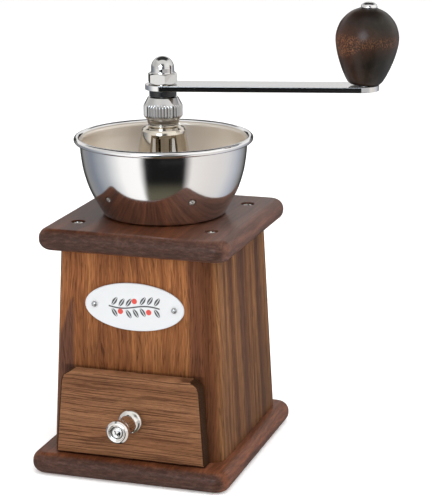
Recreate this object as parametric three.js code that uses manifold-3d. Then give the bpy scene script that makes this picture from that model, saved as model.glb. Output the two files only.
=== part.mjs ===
// Manual box coffee grinder: a tapered wooden body between a base board and a
// top board, a steel hopper bowl, a crank with a turned wooden grip, a conical
// burr set hung under the top board and a drawer for the ground coffee.
// Millimetres, +Z up. The origin is on the underside of the base board, under
// the spindle axis. -Y is the front, where the drawer opens.
import * as THREE from 'three';
import { mergeVertices } from 'three/addons/utils/BufferGeometryUtils.js';
import Module from 'manifold-3d';

// ---------------------------------------------------------------- dimensions
const GAP = 0.3;                 // clearance between touching or turning pieces

const BASE_HX = 50, BASE_Y0 = -60, BASE_Y1 = 53, BASE_T = 10.5;
const BASE_RC = 7.5, BASE_RE = 4.8;
const TOP_HX = 47.8, TOP_HY = 50, TOP_Z = 108.7, TOP_T = 10.6;
const TOP_RC = 7.7, TOP_RE = 5.0;
const BODY_HX0 = 43.5, BODY_HX1 = 39.5;   // outer half widths, bottom and top
const BODY_HY0 = 46.0, BODY_HY1 = 42.0;
const BODY_T = 10, BODY_RC = 7;
const TILT = Math.atan((BODY_HY0 - BODY_HY1) / (TOP_Z - BASE_T));

const NOTCH_HX = 31.2, NOTCH_Z = 46.6;    // drawer opening in the front panel
const DRAWER_FRONT_T = 7.8, DRAWER_FRONT_Z0 = 10.9, DRAWER_FRONT_Z1 = 51.6;
const DRAWER_FRONT_HX0 = 37.7, DRAWER_FRONT_HX1 = 35.0, DRAWER_FRONT_RC = 6;
const DRAWER_HX = 30.4, DRAWER_Z0 = 10.9, DRAWER_Z1 = 44.6, DRAWER_Y1 = 34;
const DRAWER_SIDE_T = 5;
const KNOB_X = 0.9, KNOB_Z = 30.2;

const SCREW_X = 33.4, SCREW_Y = 29.0;     // top board screws
const BASE_SCREW_X = 38.3, BASE_SCREW_Y = 28.0;

const BOWL_HOLE_R = 14.6, BOWL_WALL = 1.0;
const BEAD_R = 42.05, BEAD_r = 1.5, BEAD_Z = 156.4;

const BRIDGE_WINDOW_DIR = -54.6;          // degrees from +X
const BRIDGE_WINDOW_HALF = 48.5;
const BRIDGE_SCREW_PCR = 20.0;            // pitch circle radius
const BRIDGE_SCREW_SPREAD = 30;           // degrees each side of a window centre

const SHAFT_R = 4.0, SHAFT_FLAT = 3.0;
const SHAFT_Z0 = 51.2, SHAFT_Z1 = 192.4;
const ARM_Z0 = 180.2, ARM_Z1 = 182.8, ARM_HW = 8.5, ARM_END = 103.2;
const ARM_ANGLE = 13.5;                   // degrees from +X at rest
const GRIP_L = 96.3, GRIP_TILT = 2.6;     // the grip leans outward
const PIN_R = 2.2;

const HOUSING_Z0 = 74, HOUSING_Z1 = 108.4, HOUSING_R = 24;
const BURR_Z0 = 74.3, BURR_Z1 = 96.3;

// ---------------------------------------------------------------- materials
const mat = (color, roughness, metalness) =>
  new THREE.MeshStandardMaterial({ color, roughness, metalness });
const M = {
  walnutDark: mat(0x4b352c, 0.55, 0),
  walnut: mat(0x8a5a38, 0.55, 0),
  drawerWood: mat(0x8f6242, 0.6, 0),
  boxWood: mat(0xb08a60, 0.7, 0),
  gripWood: mat(0x33231c, 0.4, 0),
  nickel: mat(0xd6d2ca, 0.15, 1),
  steel: mat(0xbfc0c2, 0.3, 1),
  burr: mat(0x6f7072, 0.5, 1),
  castIron: mat(0x45464a, 0.7, 0.8),
  brass: mat(0xb6924a, 0.35, 1),
  black: mat(0x151515, 0.35, 0.2),
  enamel: mat(0xf2f2f2, 0.25, 0),
};

// ---------------------------------------------------------------- booleans
const wasm = await Module();
wasm.setup();

function clean(geometry) {
  const g = geometry.index ? geometry.clone() : geometry.clone();
  for (const name of Object.keys(g.attributes)) {
    if (name !== 'position') g.deleteAttribute(name);
  }
  return mergeVertices(g, 1e-4);
}
function solid(geometry) {
  const g = clean(geometry);
  return new wasm.Manifold(new wasm.Mesh({
    numProp: 3,
    vertProperties: new Float32Array(g.attributes.position.array),
    triVerts: new Uint32Array(g.index.array),
  }));
}
function geometryOf(manifold) {
  const m = manifold.getMesh();
  const g = new THREE.BufferGeometry();
  const n = m.vertProperties.length / m.numProp;
  const pos = new Float32Array(n * 3);
  for (let i = 0; i < n; i++) {
    for (let k = 0; k < 3; k++) pos[3 * i + k] = m.vertProperties[m.numProp * i + k];
  }
  g.setAttribute('position', new THREE.BufferAttribute(pos, 3));
  g.setIndex(new THREE.BufferAttribute(new Uint32Array(m.triVerts), 1));
  return g;
}
function cut(geometry, ...tools) {
  let s = solid(geometry);
  for (const t of tools) s = s.subtract(solid(t));
  return geometryOf(s);
}
function join(geometry, ...others) {
  let s = solid(geometry);
  for (const t of others) s = s.add(solid(t));
  return geometryOf(s);
}
function common(a, b) {
  return geometryOf(solid(a).intersect(solid(b)));
}

// ---------------------------------------------------------------- shape helpers
const rad = THREE.MathUtils.degToRad;

// an upright cylinder from z0 to z1
function rod(r, z0, z1, x = 0, y = 0, seg = 20) {
  const g = new THREE.CylinderGeometry(r, r, z1 - z0, seg);
  g.rotateX(Math.PI / 2);
  g.translate(x, y, (z0 + z1) / 2);
  return g;
}
function block(x0, x1, y0, y1, z0, z1) {
  const g = new THREE.BoxGeometry(x1 - x0, y1 - y0, z1 - z0);
  g.translate((x0 + x1) / 2, (y0 + y1) / 2, (z0 + z1) / 2);
  return g;
}
// a body turned about Z from (radius, z) points. The profile runs with its
// material on the left hand, and closes on itself or starts and ends on the axis.
function turned(points, seg = 28) {
  const p = points.map(([r, z]) => new THREE.Vector2(r, z));
  const onAxis = p[0].x === 0 && p[p.length - 1].x === 0;
  if (!onAxis) p.push(p[0].clone());
  const g = new THREE.LatheGeometry(p, seg);
  g.rotateX(Math.PI / 2);
  const m = clean(g);
  return outward(dropFlat(m));
}
function dropFlat(g) {
  const idx = g.index.array, out = [];
  for (let i = 0; i < idx.length; i += 3) {
    const [a, b, c] = [idx[i], idx[i + 1], idx[i + 2]];
    if (a !== b && b !== c && a !== c) out.push(a, b, c);
  }
  g.setIndex(out);
  return g;
}
// turns the faces outward if the enclosed volume is negative
function outward(g) {
  const p = g.attributes.position, idx = g.index.array;
  let v = 0;
  const a = new THREE.Vector3(), b = new THREE.Vector3(), c = new THREE.Vector3();
  for (let i = 0; i < idx.length; i += 3) {
    a.fromBufferAttribute(p, idx[i]);
    b.fromBufferAttribute(p, idx[i + 1]);
    c.fromBufferAttribute(p, idx[i + 2]);
    v += a.dot(b.cross(c));
  }
  if (v < 0) {
    for (let i = 0; i < idx.length; i += 3) {
      const t = idx[i + 1];
      idx[i + 1] = idx[i + 2];
      idx[i + 2] = t;
    }
  }
  return g;
}
function roundedRect(x0, x1, y0, y1, r) {
  const s = new THREE.Shape();
  s.moveTo(x0 + r, y0);
  s.lineTo(x1 - r, y0);
  s.absarc(x1 - r, y0 + r, r, -Math.PI / 2, 0, false);
  s.lineTo(x1, y1 - r);
  s.absarc(x1 - r, y1 - r, r, 0, Math.PI / 2, false);
  s.lineTo(x0 + r, y1);
  s.absarc(x0 + r, y1 - r, r, Math.PI / 2, Math.PI, false);
  s.lineTo(x0, y0 + r);
  s.absarc(x0 + r, y0 + r, r, Math.PI, 1.5 * Math.PI, false);
  return s;
}
// a board with rounded corners in plan and fully rounded edges
function bullnoseBoard(x0, x1, y0, y1, z0, t, rc, re) {
  const s = roundedRect(x0 + re, x1 - re, y0 + re, y1 - re, rc - re);
  const g = new THREE.ExtrudeGeometry(s, {
    depth: t - 2 * re, bevelEnabled: true, bevelThickness: re, bevelSize: re,
    bevelSegments: 3, curveSegments: 3,
  });
  g.translate(0, 0, z0 + re);
  return g;
}
function polygon(points) {
  return new THREE.Shape(points.map(([x, y]) => new THREE.Vector2(x, y)));
}
// a board whose section narrows from z0 to z1: every point moves dx towards
// x = 0 and dy towards y = 0 over the whole height of the body
function taperedBoard(points, z0, z1) {
  const g = new THREE.ExtrudeGeometry(polygon(points), { depth: z1 - z0, bevelEnabled: false });
  g.translate(0, 0, z0);
  const p = g.attributes.position;
  for (let i = 0; i < p.count; i++) {
    const k = (p.getZ(i) - BASE_T) / (TOP_Z - BASE_T);
    const x = p.getX(i), y = p.getY(i);
    p.setX(i, x - Math.sign(x) * (BODY_HX0 - BODY_HX1) * k);
    p.setY(i, y - Math.sign(y) * (BODY_HY0 - BODY_HY1) * k);
  }
  return g;
}
// a toothed body of n teeth about Z: levels = [{z, crest, valley, bore, turn}]
function toothed(n, levels, boreSeg = 24) {
  const outer = [];
  for (let i = 0; i < 2 * n; i++) {
    const a = Math.PI * i / n, r = i % 2 ? 0.9 : 1.0;
    outer.push([r * Math.cos(a), r * Math.sin(a)]);
  }
  const s = polygon(outer);
  const hole = [];
  for (let i = 0; i < boreSeg; i++) {
    const a = 2 * Math.PI * i / boreSeg;
    hole.push(new THREE.Vector2(0.3 * Math.cos(a), 0.3 * Math.sin(a)));
  }
  s.holes.push(new THREE.Path(hole));
  const L = levels.length;
  const g = new THREE.ExtrudeGeometry(s, { depth: 1, steps: L - 1, bevelEnabled: false });
  const p = g.attributes.position;
  for (let i = 0; i < p.count; i++) {
    const lv = levels[Math.round(p.getZ(i) * (L - 1))];
    const x = p.getX(i), y = p.getY(i), q = Math.hypot(x, y);
    const r = q < 0.5 ? lv.bore : (q > 0.95 ? lv.crest : lv.valley);
    const a = Math.atan2(y, x) + (q < 0.5 ? 0 : rad(lv.turn || 0));
    p.setXYZ(i, r * Math.cos(a), r * Math.sin(a), lv.z);
  }
  return g;
}
// a ring with a smooth outside and n teeth inside: levels = [{z, r, crest, valley, turn}]
function toothedRing(n, levels, seg = 28) {
  const s = new THREE.Shape();
  for (let i = 0; i < seg; i++) {
    const a = 2 * Math.PI * i / seg;
    if (i) s.lineTo(Math.cos(a), Math.sin(a)); else s.moveTo(1, 0);
  }
  const hole = [];
  for (let i = 0; i < 2 * n; i++) {
    const a = Math.PI * i / n, r = i % 2 ? 0.6 : 0.5;
    hole.push(new THREE.Vector2(r * Math.cos(a), r * Math.sin(a)));
  }
  s.holes.push(new THREE.Path(hole));
  const L = levels.length;
  const g = new THREE.ExtrudeGeometry(s, { depth: 1, steps: L - 1, bevelEnabled: false });
  const p = g.attributes.position;
  for (let i = 0; i < p.count; i++) {
    const lv = levels[Math.round(p.getZ(i) * (L - 1))];
    const x = p.getX(i), y = p.getY(i), q = Math.hypot(x, y);
    const r = q > 0.8 ? lv.r : (q > 0.55 ? lv.valley : lv.crest);
    const a = Math.atan2(y, x) + (q > 0.8 ? 0 : rad(lv.turn || 0));
    p.setXYZ(i, r * Math.cos(a), r * Math.sin(a), lv.z);
  }
  return g;
}
// a pan-head screw pointing down: the underside of the head is at z
function screwDown(x, y, z, headR, headH, shankR, length) {
  const g = turned([[0, z - length], [shankR * 0.6, z - length], [shankR, z - length + 1],
    [shankR, z], [headR, z], [headR, z + headH * 0.5], [headR * 0.75, z + headH * 0.88],
    [0, z + headH]], 12);
  g.translate(x, y, 0);
  return g;
}
function screwUp(x, y, z, headR, headH, shankR, length) {
  const g = turned([[0, z - headH], [headR, z - headH], [headR, z],
    [shankR, z], [shankR, z + length - 1], [shankR * 0.6, z + length], [0, z + length]], 12);
  g.translate(x, y, 0);
  return g;
}

// ---------------------------------------------------------------- the scene
const grinder = new THREE.Group();
grinder.name = 'coffee_grinder';
function add(name, geometry, material, parent = grinder) {
  const g = outward(dropFlat(clean(geometry)));
  g.computeVertexNormals();
  const mesh = new THREE.Mesh(g, material);
  mesh.name = name;
  parent.add(mesh);
  return mesh;
}

// base board with four screw holes from below
{
  const holes = [];
  for (const sx of [-1, 1]) for (const sy of [-1, 1]) {
    holes.push(rod(1.8, -1, BASE_T + 1, sx * BASE_SCREW_X, sy * BASE_SCREW_Y, 10));
    holes.push(rod(3.6, -1, 4.2, sx * BASE_SCREW_X, sy * BASE_SCREW_Y, 12));
  }
  add('base_plate', cut(bullnoseBoard(-BASE_HX, BASE_HX, BASE_Y0, BASE_Y1, 0, BASE_T, BASE_RC, BASE_RE),
    ...holes), M.walnutDark);
}

// four boards of the tapered body; front and back carry the rounded corners
const PZ0 = BASE_T + GAP, PZ1 = TOP_Z - GAP;
function faceBoard(sign) {
  const pts = [];
  const hx = BODY_HX0, hy = BODY_HY0, r = BODY_RC, n = 6;
  for (let i = 0; i <= n; i++) {
    const a = Math.PI + (Math.PI / 2) * i / n;
    pts.push([-hx + r + r * Math.cos(a), -hy + r + r * Math.sin(a)]);
  }
  for (let i = 0; i <= n; i++) {
    const a = 1.5 * Math.PI + (Math.PI / 2) * i / n;
    pts.push([hx - r + r * Math.cos(a), -hy + r + r * Math.sin(a)]);
  }
  pts.push([hx, -hy + BODY_T], [-hx, -hy + BODY_T]);
  return taperedBoard(pts.map(([x, y]) => [x, y * sign]), PZ0, PZ1);
}
{
  const rivetHoles = [-20, 20].map((x) => {
    const g = rod(1.1, -5, 3, 0, 0, 12);
    g.rotateX(Math.PI / 2 - TILT);
    const z = 83.6;
    const y = -(BODY_HY0 - (BODY_HY0 - BODY_HY1) * (z - BASE_T) / (TOP_Z - BASE_T));
    g.translate(x, y, z);
    return g;
  });
  add('front_panel', cut(faceBoard(1),
    block(-NOTCH_HX, NOTCH_HX, -60, -20, 0, NOTCH_Z), ...rivetHoles), M.walnut);
}
add('back_panel', faceBoard(-1), M.walnut);
for (const [name, s] of [['left_panel', -1], ['right_panel', 1]]) {
  const yi = BODY_HY0 - BODY_T - GAP;
  const pts = [[s * (BODY_HX0 - BODY_T), -yi], [s * BODY_HX0, -yi], [s * BODY_HX0, yi], [s * (BODY_HX0 - BODY_T), yi]];
  const holes = [];
  for (const sy of [-1, 1]) {
    holes.push(rod(1.8, TOP_Z - 18, TOP_Z + 2, s * SCREW_X, sy * SCREW_Y, 10));
    holes.push(rod(1.8, 0, BASE_T + 22, s * BASE_SCREW_X, sy * BASE_SCREW_Y, 10));
  }
  add(name, cut(taperedBoard(pts, PZ0, PZ1), ...holes), M.walnut);
}

// top board: throat hole, four counterbored screw holes, holes for the bridge screws
const TOP_TOP = TOP_Z + TOP_T;
const bridgeScrews = [];
for (const w of [0, 180]) for (const s of [-1, 1]) {
  const a = rad(BRIDGE_WINDOW_DIR + w + s * BRIDGE_SCREW_SPREAD);
  bridgeScrews.push([BRIDGE_SCREW_PCR * Math.cos(a), BRIDGE_SCREW_PCR * Math.sin(a)]);
}
{
  const tools = [rod(16.2, TOP_Z - 1, TOP_TOP + 1, 0, 0, 28)];
  for (const sx of [-1, 1]) for (const sy of [-1, 1]) {
    tools.push(rod(1.8, TOP_Z - 1, TOP_TOP + 1, sx * SCREW_X, sy * SCREW_Y, 10));
    tools.push(rod(3.3, TOP_TOP - 2.6, TOP_TOP + 1, sx * SCREW_X, sy * SCREW_Y, 16));
  }
  for (const [x, y] of bridgeScrews) tools.push(rod(1.9, TOP_Z - 1, TOP_TOP + 1, x, y, 10));
  add('top_plate', cut(bullnoseBoard(-TOP_HX, TOP_HX, -TOP_HY, TOP_HY, TOP_Z, TOP_T, TOP_RC, TOP_RE),
    ...tools), M.walnutDark);
}
{
  let i = 1;
  for (const sx of [-1, 1]) for (const sy of [-1, 1]) {
    add('top_screw_' + i, screwDown(sx * SCREW_X, sy * SCREW_Y, TOP_TOP - 2.3, 2.9, 2.0, 1.5, 22), M.nickel);
    add('base_screw_' + i, screwUp(sx * BASE_SCREW_X, sy * BASE_SCREW_Y, 3.9, 3.2, 2.2, 1.5, 26), M.steel);
    i++;
  }
}

// drawer: an overlay front parallel to the tapered face and a box behind it
const faceY = (z) => -(BODY_HY0 - (BODY_HY0 - BODY_HY1) * (z - BASE_T) / (TOP_Z - BASE_T));
{
  const h = (DRAWER_FRONT_Z1 - DRAWER_FRONT_Z0) / Math.cos(TILT);
  const s = new THREE.Shape();
  const r = DRAWER_FRONT_RC, lean = Math.atan((DRAWER_FRONT_HX0 - DRAWER_FRONT_HX1) / h);
  s.moveTo(-DRAWER_FRONT_HX0, 0);
  s.lineTo(DRAWER_FRONT_HX0, 0);
  const cx = DRAWER_FRONT_HX1 - r, cy = h - r;
  s.lineTo(cx + r * Math.cos(lean), cy + r * Math.sin(lean));
  s.absarc(cx, cy, r, lean, Math.PI / 2, false);
  s.lineTo(-cx, h);
  s.absarc(-cx, cy, r, Math.PI / 2, Math.PI - lean, false);
  const g = new THREE.ExtrudeGeometry(s, { depth: DRAWER_FRONT_T, bevelEnabled: false, curveSegments: 7 });
  // local z runs to the front
  g.rotateX(Math.PI / 2 - TILT);
  g.translate(0, faceY(DRAWER_FRONT_Z0) - GAP, DRAWER_FRONT_Z0);
  const drill = rod(1.9, -6, 10, 0, 0, 16);
  drill.rotateX(Math.PI / 2 - TILT);
  drill.translate(KNOB_X, faceY(KNOB_Z) - GAP - DRAWER_FRONT_T, KNOB_Z);
  add('drawer_front', cut(g, drill), M.drawerWood);
}
function drawerSide(x0, x1) {
  const yf = (z) => faceY(z) + 0.02;
  const s = polygon([[yf(DRAWER_Z0), DRAWER_Z0], [DRAWER_Y1, DRAWER_Z0], [DRAWER_Y1, DRAWER_Z1], [yf(DRAWER_Z1), DRAWER_Z1]]);
  const g = new THREE.ExtrudeGeometry(s, { depth: x1 - x0, bevelEnabled: false });
  // (u, v, w) -> (w, u, v)
  const p = g.attributes.position;
  for (let i = 0; i < p.count; i++) {
    const u = p.getX(i), v = p.getY(i), w = p.getZ(i);
    p.setXYZ(i, x0 + w, u, v);
  }
  return g;
}
add('drawer_left_side', drawerSide(-DRAWER_HX, -DRAWER_HX + DRAWER_SIDE_T), M.boxWood);
add('drawer_right_side', drawerSide(DRAWER_HX - DRAWER_SIDE_T, DRAWER_HX), M.boxWood);
{
  const xi = DRAWER_HX - DRAWER_SIDE_T - GAP;
  add('drawer_back', block(-xi, xi, DRAWER_Y1 - DRAWER_SIDE_T, DRAWER_Y1, DRAWER_Z0, DRAWER_Z1), M.boxWood);
  add('drawer_bottom', block(-xi, xi, -44.8, DRAWER_Y1 - DRAWER_SIDE_T - GAP, DRAWER_Z0 + 1, DRAWER_Z0 + 4), M.boxWood);
}
// drawer knob: a turned spool with a dished front disc, held by a screw
const knobGroup = new THREE.Group();
knobGroup.position.set(KNOB_X, faceY(KNOB_Z) - GAP - DRAWER_FRONT_T - GAP, KNOB_Z);
knobGroup.rotation.x = Math.PI / 2 - TILT;       // local +Z runs to the front
grinder.add(knobGroup);
add('drawer_knob', turned([[1.9, 0], [6.0, 0], [6.2, 0.7], [5.8, 2.0], [3.9, 3.4], [3.1, 5.5],
  [2.9, 8.5], [3.1, 11.5], [4.0, 14.2], [5.35, 15.6], [5.6, 16.6], [5.5, 18.0], [4.6, 19.0],
  [3.1, 19.2], [3.1, 17.2], [1.9, 17.2]], 20), M.nickel, knobGroup);
add('knob_screw', turned([[0, -4.8], [1.0, -4.8], [1.5, -3.8], [1.5, 17.5], [2.75, 17.5],
  [2.75, 18.4], [1.9, 19.1], [0, 19.3]], 12), M.nickel, knobGroup);

// hopper bowl: thin wall with a rolled bead at the rim
{
  const z0 = TOP_TOP + GAP, t = BOWL_WALL;
  const outer = [[28.4, z0], [29.7, z0 + 0.6], [31.0, z0 + 2.8], [33.5, z0 + 7.3],
    [36.5, z0 + 13.6], [38.9, z0 + 21.6], [40.1, z0 + 29.4], [40.4, z0 + 34.4]];
  const bead = [];
  for (let i = 0; i <= 5; i++) {
    const a = rad(-150 + 300 * i / 5);
    bead.push([BEAD_R + BEAD_r * Math.cos(a), BEAD_Z + BEAD_r * Math.sin(a)]);
  }
  const inner = [[39.3, z0 + 34.4], [39.0, z0 + 29.4], [37.9, z0 + 21.9], [35.5, z0 + 14.0],
    [32.5, z0 + 7.8], [30.0, z0 + 3.4], [27.9, z0 + t]];
  const profile = [[BOWL_HOLE_R, z0], ...outer, ...bead, ...inner, [BOWL_HOLE_R, z0 + t]];
  const holes = bridgeScrews.map(([x, y]) => rod(1.9, z0 - 2, z0 + 3, x, y, 10));
  add('hopper_bowl', cut(turned(profile, 36), ...holes), M.nickel);
}

// bridge over the throat: a pressed shell with two windows, screwed through
// the bowl floor; a bush in its top carries the spindle
const FOOT_Z = TOP_TOP + GAP + BOWL_WALL + GAP;
{
  const shell = turned([[5.9, 159.7], [8.5, 159.7], [9.0, 158.6], [10.6, 149.5], [14.6, FOOT_Z + 1.6],
    [14.9, FOOT_Z], [22.8, FOOT_Z], [22.8, FOOT_Z + 1.5], [17.6, FOOT_Z + 1.5], [16.4, FOOT_Z + 2.8],
    [12.4, 149.5], [10.6, 160.4], [10.0, 161.4], [8.4, 162.1], [5.9, 162.1]], 28);
  const tools = [];
  for (const w of [0, 180]) {
    const s = new THREE.Shape();
    s.moveTo(0, 0);
    const n = 8, R = 40;
    for (let i = 0; i <= n; i++) {
      const a = rad(BRIDGE_WINDOW_DIR + w - BRIDGE_WINDOW_HALF + 2 * BRIDGE_WINDOW_HALF * i / n);
      s.lineTo(R * Math.cos(a), R * Math.sin(a));
    }
    const g = new THREE.ExtrudeGeometry(s, { depth: 159.4 - (FOOT_Z + 1.6), bevelEnabled: false });
    g.translate(0, 0, FOOT_Z + 1.6);
    tools.push(g);
  }
  for (const [x, y] of bridgeScrews) tools.push(rod(1.9, FOOT_Z - 2, FOOT_Z + 2.2, x, y, 10));
  add('bridge', cut(shell, ...tools), M.nickel);
}
add('bearing_bush', turned([[4.3, 156.6], [5.6, 156.6], [5.6, 162.4], [7.3, 162.4], [7.3, 163.3], [4.3, 163.3]], 20), M.brass);
bridgeScrews.forEach(([x, y], i) => {
  add('bridge_screw_' + (i + 1), screwDown(x, y, FOOT_Z + 1.8, 2.5, 1.7, 1.6, FOOT_Z + 1.8 - 101.9), M.nickel);
  const hex = new THREE.CylinderGeometry(3.3, 3.3, 2.6, 6);
  hex.rotateX(Math.PI / 2);
  hex.translate(x, y, 103.6);
  add('bridge_nut_' + (i + 1), cut(hex, rod(1.9, 100, 107, x, y, 10)), M.steel);
});

// burr housing under the top board, with the throat and the seat of the outer burr
{
  const body = turned([[18.9, HOUSING_Z0], [HOUSING_R, HOUSING_Z0], [HOUSING_R, 96.8], [17.6, 100.8],
    [16.3, 101.6], [16.3, 105.2], [26.0, 105.2], [26.0, HOUSING_Z1], [15.4, HOUSING_Z1], [15.4, 96.6],
    [18.9, 96.6]], 28);
  const tools = bridgeScrews.map(([x, y]) => rod(1.9, 104, 110, x, y, 10));
  for (const s of [-1, 1]) tools.push(rod(1.6, HOUSING_Z0 - 1, HOUSING_Z0 + 10, s * 21.5, 0, 16));
  add('burr_housing', cut(body, ...tools), M.castIron);
}
add('outer_burr', toothedRing(8, [
  { z: BURR_Z0, r: 18.6, crest: 17.3, valley: 17.9 },
  { z: BURR_Z1, r: 18.6, crest: 13.4, valley: 15.3 },
], 16), M.burr);
add('inner_burr', toothed(12, [
  { z: 72.6, crest: 16.0, valley: 15.6, bore: 4.3, turn: 0 },
  { z: BURR_Z0, crest: 16.7, valley: 16.2, bore: 4.3, turn: -3 },
  { z: BURR_Z0 + 3, crest: 15.35, valley: 14.7, bore: 4.3, turn: -8 },
  { z: BURR_Z0 + 6, crest: 13.9, valley: 12.7, bore: 4.3, turn: -15 },
  { z: BURR_Z0 + 12, crest: 11.4, valley: 9.4, bore: 4.3, turn: -34 },
  { z: BURR_Z0 + 19, crest: 8.8, valley: 6.9, bore: 4.3, turn: -60 },
  { z: BURR_Z0 + 25, crest: 6.6, valley: 5.7, bore: 4.3, turn: -85 },
], 16), M.burr);

// lower bearing bar under the housing, with two screws
{
  const s = new THREE.Shape();
  s.moveTo(-19.5, -5.5);
  s.lineTo(19.5, -5.5);
  s.absarc(19.5, 0, 5.5, -Math.PI / 2, Math.PI / 2, false);
  s.lineTo(-19.5, 5.5);
  s.absarc(-19.5, 0, 5.5, Math.PI / 2, 1.5 * Math.PI, false);
  const bar = new THREE.ExtrudeGeometry(s, { depth: 4, bevelEnabled: false, curveSegments: 6 });
  bar.translate(0, 0, 66);
  const posts = [-1, 1].map((k) => block(Math.min(k * 18.2, k * 24.4), Math.max(k * 18.2, k * 24.4), -3.4, 3.4, 69, 73.7));
  const tools = [rod(4.3, 60, 80, 0, 0, 24), rod(1.8, 60, 80, -21.5, 0, 16), rod(1.8, 60, 80, 21.5, 0, 16)];
  add('lower_bearing_bar', cut(join(bar, ...posts), ...tools), M.castIron);
  [-1, 1].forEach((k, i) => add('bar_screw_' + (i + 1), screwUp(k * 21.5, 0, 65.7, 2.6, 1.8, 1.25, 16), M.steel));
}

// everything that turns with the crank
const crank = new THREE.Group();
crank.rotation.z = rad(ARM_ANGLE);
grinder.add(crank);

{
  const shaft = turned([[0, SHAFT_Z0], [SHAFT_R - 0.6, SHAFT_Z0], [SHAFT_R, SHAFT_Z0 + 0.6], [SHAFT_R, 52.3],
    [SHAFT_R - 0.9, 52.3], [SHAFT_R - 0.9, 53.5], [SHAFT_R, 53.5],
    [SHAFT_R, SHAFT_Z1 - 0.7], [SHAFT_R - 0.7, SHAFT_Z1], [0, SHAFT_Z1]], 20);
  const flats = [block(SHAFT_FLAT, 10, -10, 10, ARM_Z0 - 0.2, 200), block(-10, -SHAFT_FLAT, -10, 10, ARM_Z0 - 0.2, 200)];
  add('spindle', cut(shaft, ...flats), M.steel, crank);
}
// retaining clip in the groove at the tail of the spindle
{
  const ring = turned([[SHAFT_R - 0.6, 52.5], [6.4, 52.5], [6.4, 53.3], [SHAFT_R - 0.6, 53.3]], 16);
  add('tail_clip', cut(ring, block(-1.6, 1.6, -10, 0, 50, 56)), M.steel, crank);
}
add('tail_washer', turned([[4.3, 53.8], [7.6, 53.8], [7.6, 54.8], [4.3, 54.8]], 16), M.steel, crank);
{
  // compression spring from the tail washer up to the bearing bar
  const turns = 3.5, r = 6.0, z0 = 55.7, z1 = 65.1, w = 0.55;
  class Helix extends THREE.Curve {
    getPoint(t, target = new THREE.Vector3()) {
      const a = 2 * Math.PI * turns * t;
      return target.set(r * Math.cos(a), r * Math.sin(a), z0 + (z1 - z0) * t);
    }
  }
  const wire = [];
  for (let i = 0; i < 5; i++) wire.push([w * Math.cos(0.4 * Math.PI * i), w * Math.sin(0.4 * Math.PI * i)]);
  add('tail_spring', new THREE.ExtrudeGeometry(polygon(wire), {
    steps: 42, extrudePath: new Helix(), bevelEnabled: false,
  }), M.steel);
}
// knurled nut that sets the fineness
add('adjusting_nut', toothed(20, [
  { z: 163.6, crest: 7.4, valley: 7.35, bore: 4.3 },
  { z: 165.9, crest: 8.0, valley: 7.9, bore: 4.3 },
  { z: 167.1, crest: 9.2, valley: 8.8, bore: 4.3 },
  { z: 167.5, crest: 9.45, valley: 9.0, bore: 4.3 },
  { z: 172.5, crest: 9.45, valley: 9.0, bore: 4.3 },
  { z: 176.6, crest: 7.2, valley: 7.15, bore: 4.3 },
], 16), M.nickel, crank);
add('spacer_ring', turned([[4.3, 176.9], [6.3, 176.9], [6.55, 177.2], [6.55, 179.6], [6.3, 179.9], [4.3, 179.9]], 20), M.black, crank);

// crank arm: flat bar with round ends, double-D hole at the spindle
{
  const s = new THREE.Shape();
  s.moveTo(0, -ARM_HW);
  s.lineTo(ARM_END - ARM_HW, -ARM_HW);
  s.absarc(ARM_END - ARM_HW, 0, ARM_HW, -Math.PI / 2, Math.PI / 2, false);
  s.lineTo(0, ARM_HW);
  s.absarc(0, 0, ARM_HW, Math.PI / 2, 1.5 * Math.PI, false);
  const bar = new THREE.ExtrudeGeometry(s, { depth: ARM_Z1 - ARM_Z0, bevelEnabled: false, curveSegments: 12 });
  bar.translate(0, 0, ARM_Z0);
  const dd = common(rod(SHAFT_R + GAP, 175, 185, 0, 0, 24), block(-SHAFT_FLAT - GAP, SHAFT_FLAT + GAP, -10, 10, 170, 190));
  const pinHole = rod(PIN_R + 0.5, 175, 185, GRIP_L, 0, 20);
  add('crank_arm', cut(bar, dd, pinHole), M.nickel, crank);
}
// domed cap nut
{
  const z0 = ARM_Z1 + GAP, hexTop = 188.2, af = 13.0;
  const hex = new THREE.CylinderGeometry(af / Math.sqrt(3), af / Math.sqrt(3), hexTop - z0, 6);
  hex.rotateX(Math.PI / 2);
  hex.rotateZ(rad(-32.7 - ARM_ANGLE));              // one corner at -62.7 degrees
  hex.translate(0, 0, (z0 + hexTop) / 2);
  const barrel = turned([[0, z0], [6.4, z0], [7.55, z0 + 0.9], [7.55, hexTop - 0.7], [6.5, hexTop], [0, hexTop]], 24);
  const dome = [[0, 187], [5.55, 187], [5.55, 190.6]];
  for (let i = 1; i < 5; i++) {
    const a = (Math.PI / 2) * i / 5;
    dome.push([5.55 * Math.cos(a), 190.6 + 5.5 * Math.sin(a)]);
  }
  dome.push([0, 196.1]);
  add('cap_nut', cut(join(common(hex, barrel), turned(dome, 20)), rod(SHAFT_R + GAP, 180, 192.9, 0, 0, 16)), M.nickel, crank);
}
// turned grip on its pin
const gripGroup = new THREE.Group();
gripGroup.position.set(GRIP_L, 0, ARM_Z1);
gripGroup.rotation.y = rad(GRIP_TILT);
crank.add(gripGroup);
add('grip', turned([[PIN_R + 0.4, 0.65], [7.0, 0.65], [7.6, 1.0], [8.7, 2.1], [10.8, 6.1], [12.8, 11.1], [14.2, 15.9],
  [15.1, 20.9], [14.8, 25.0], [13.3, 29.3], [10.9, 32.5], [8.0, 34.9], [4.4, 36.5],
  [PIN_R + 0.4, 36.5]], 28), M.gripWood, gripGroup);
add('grip_pin', turned([[0, -2.3], [PIN_R, -2.3], [PIN_R, 36.8], [3.9, 36.8], [3.9, 37.3], [3.4, 38.3],
  [2.2, 39.1], [0, 39.45]], 16), M.nickel, gripGroup);

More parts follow.
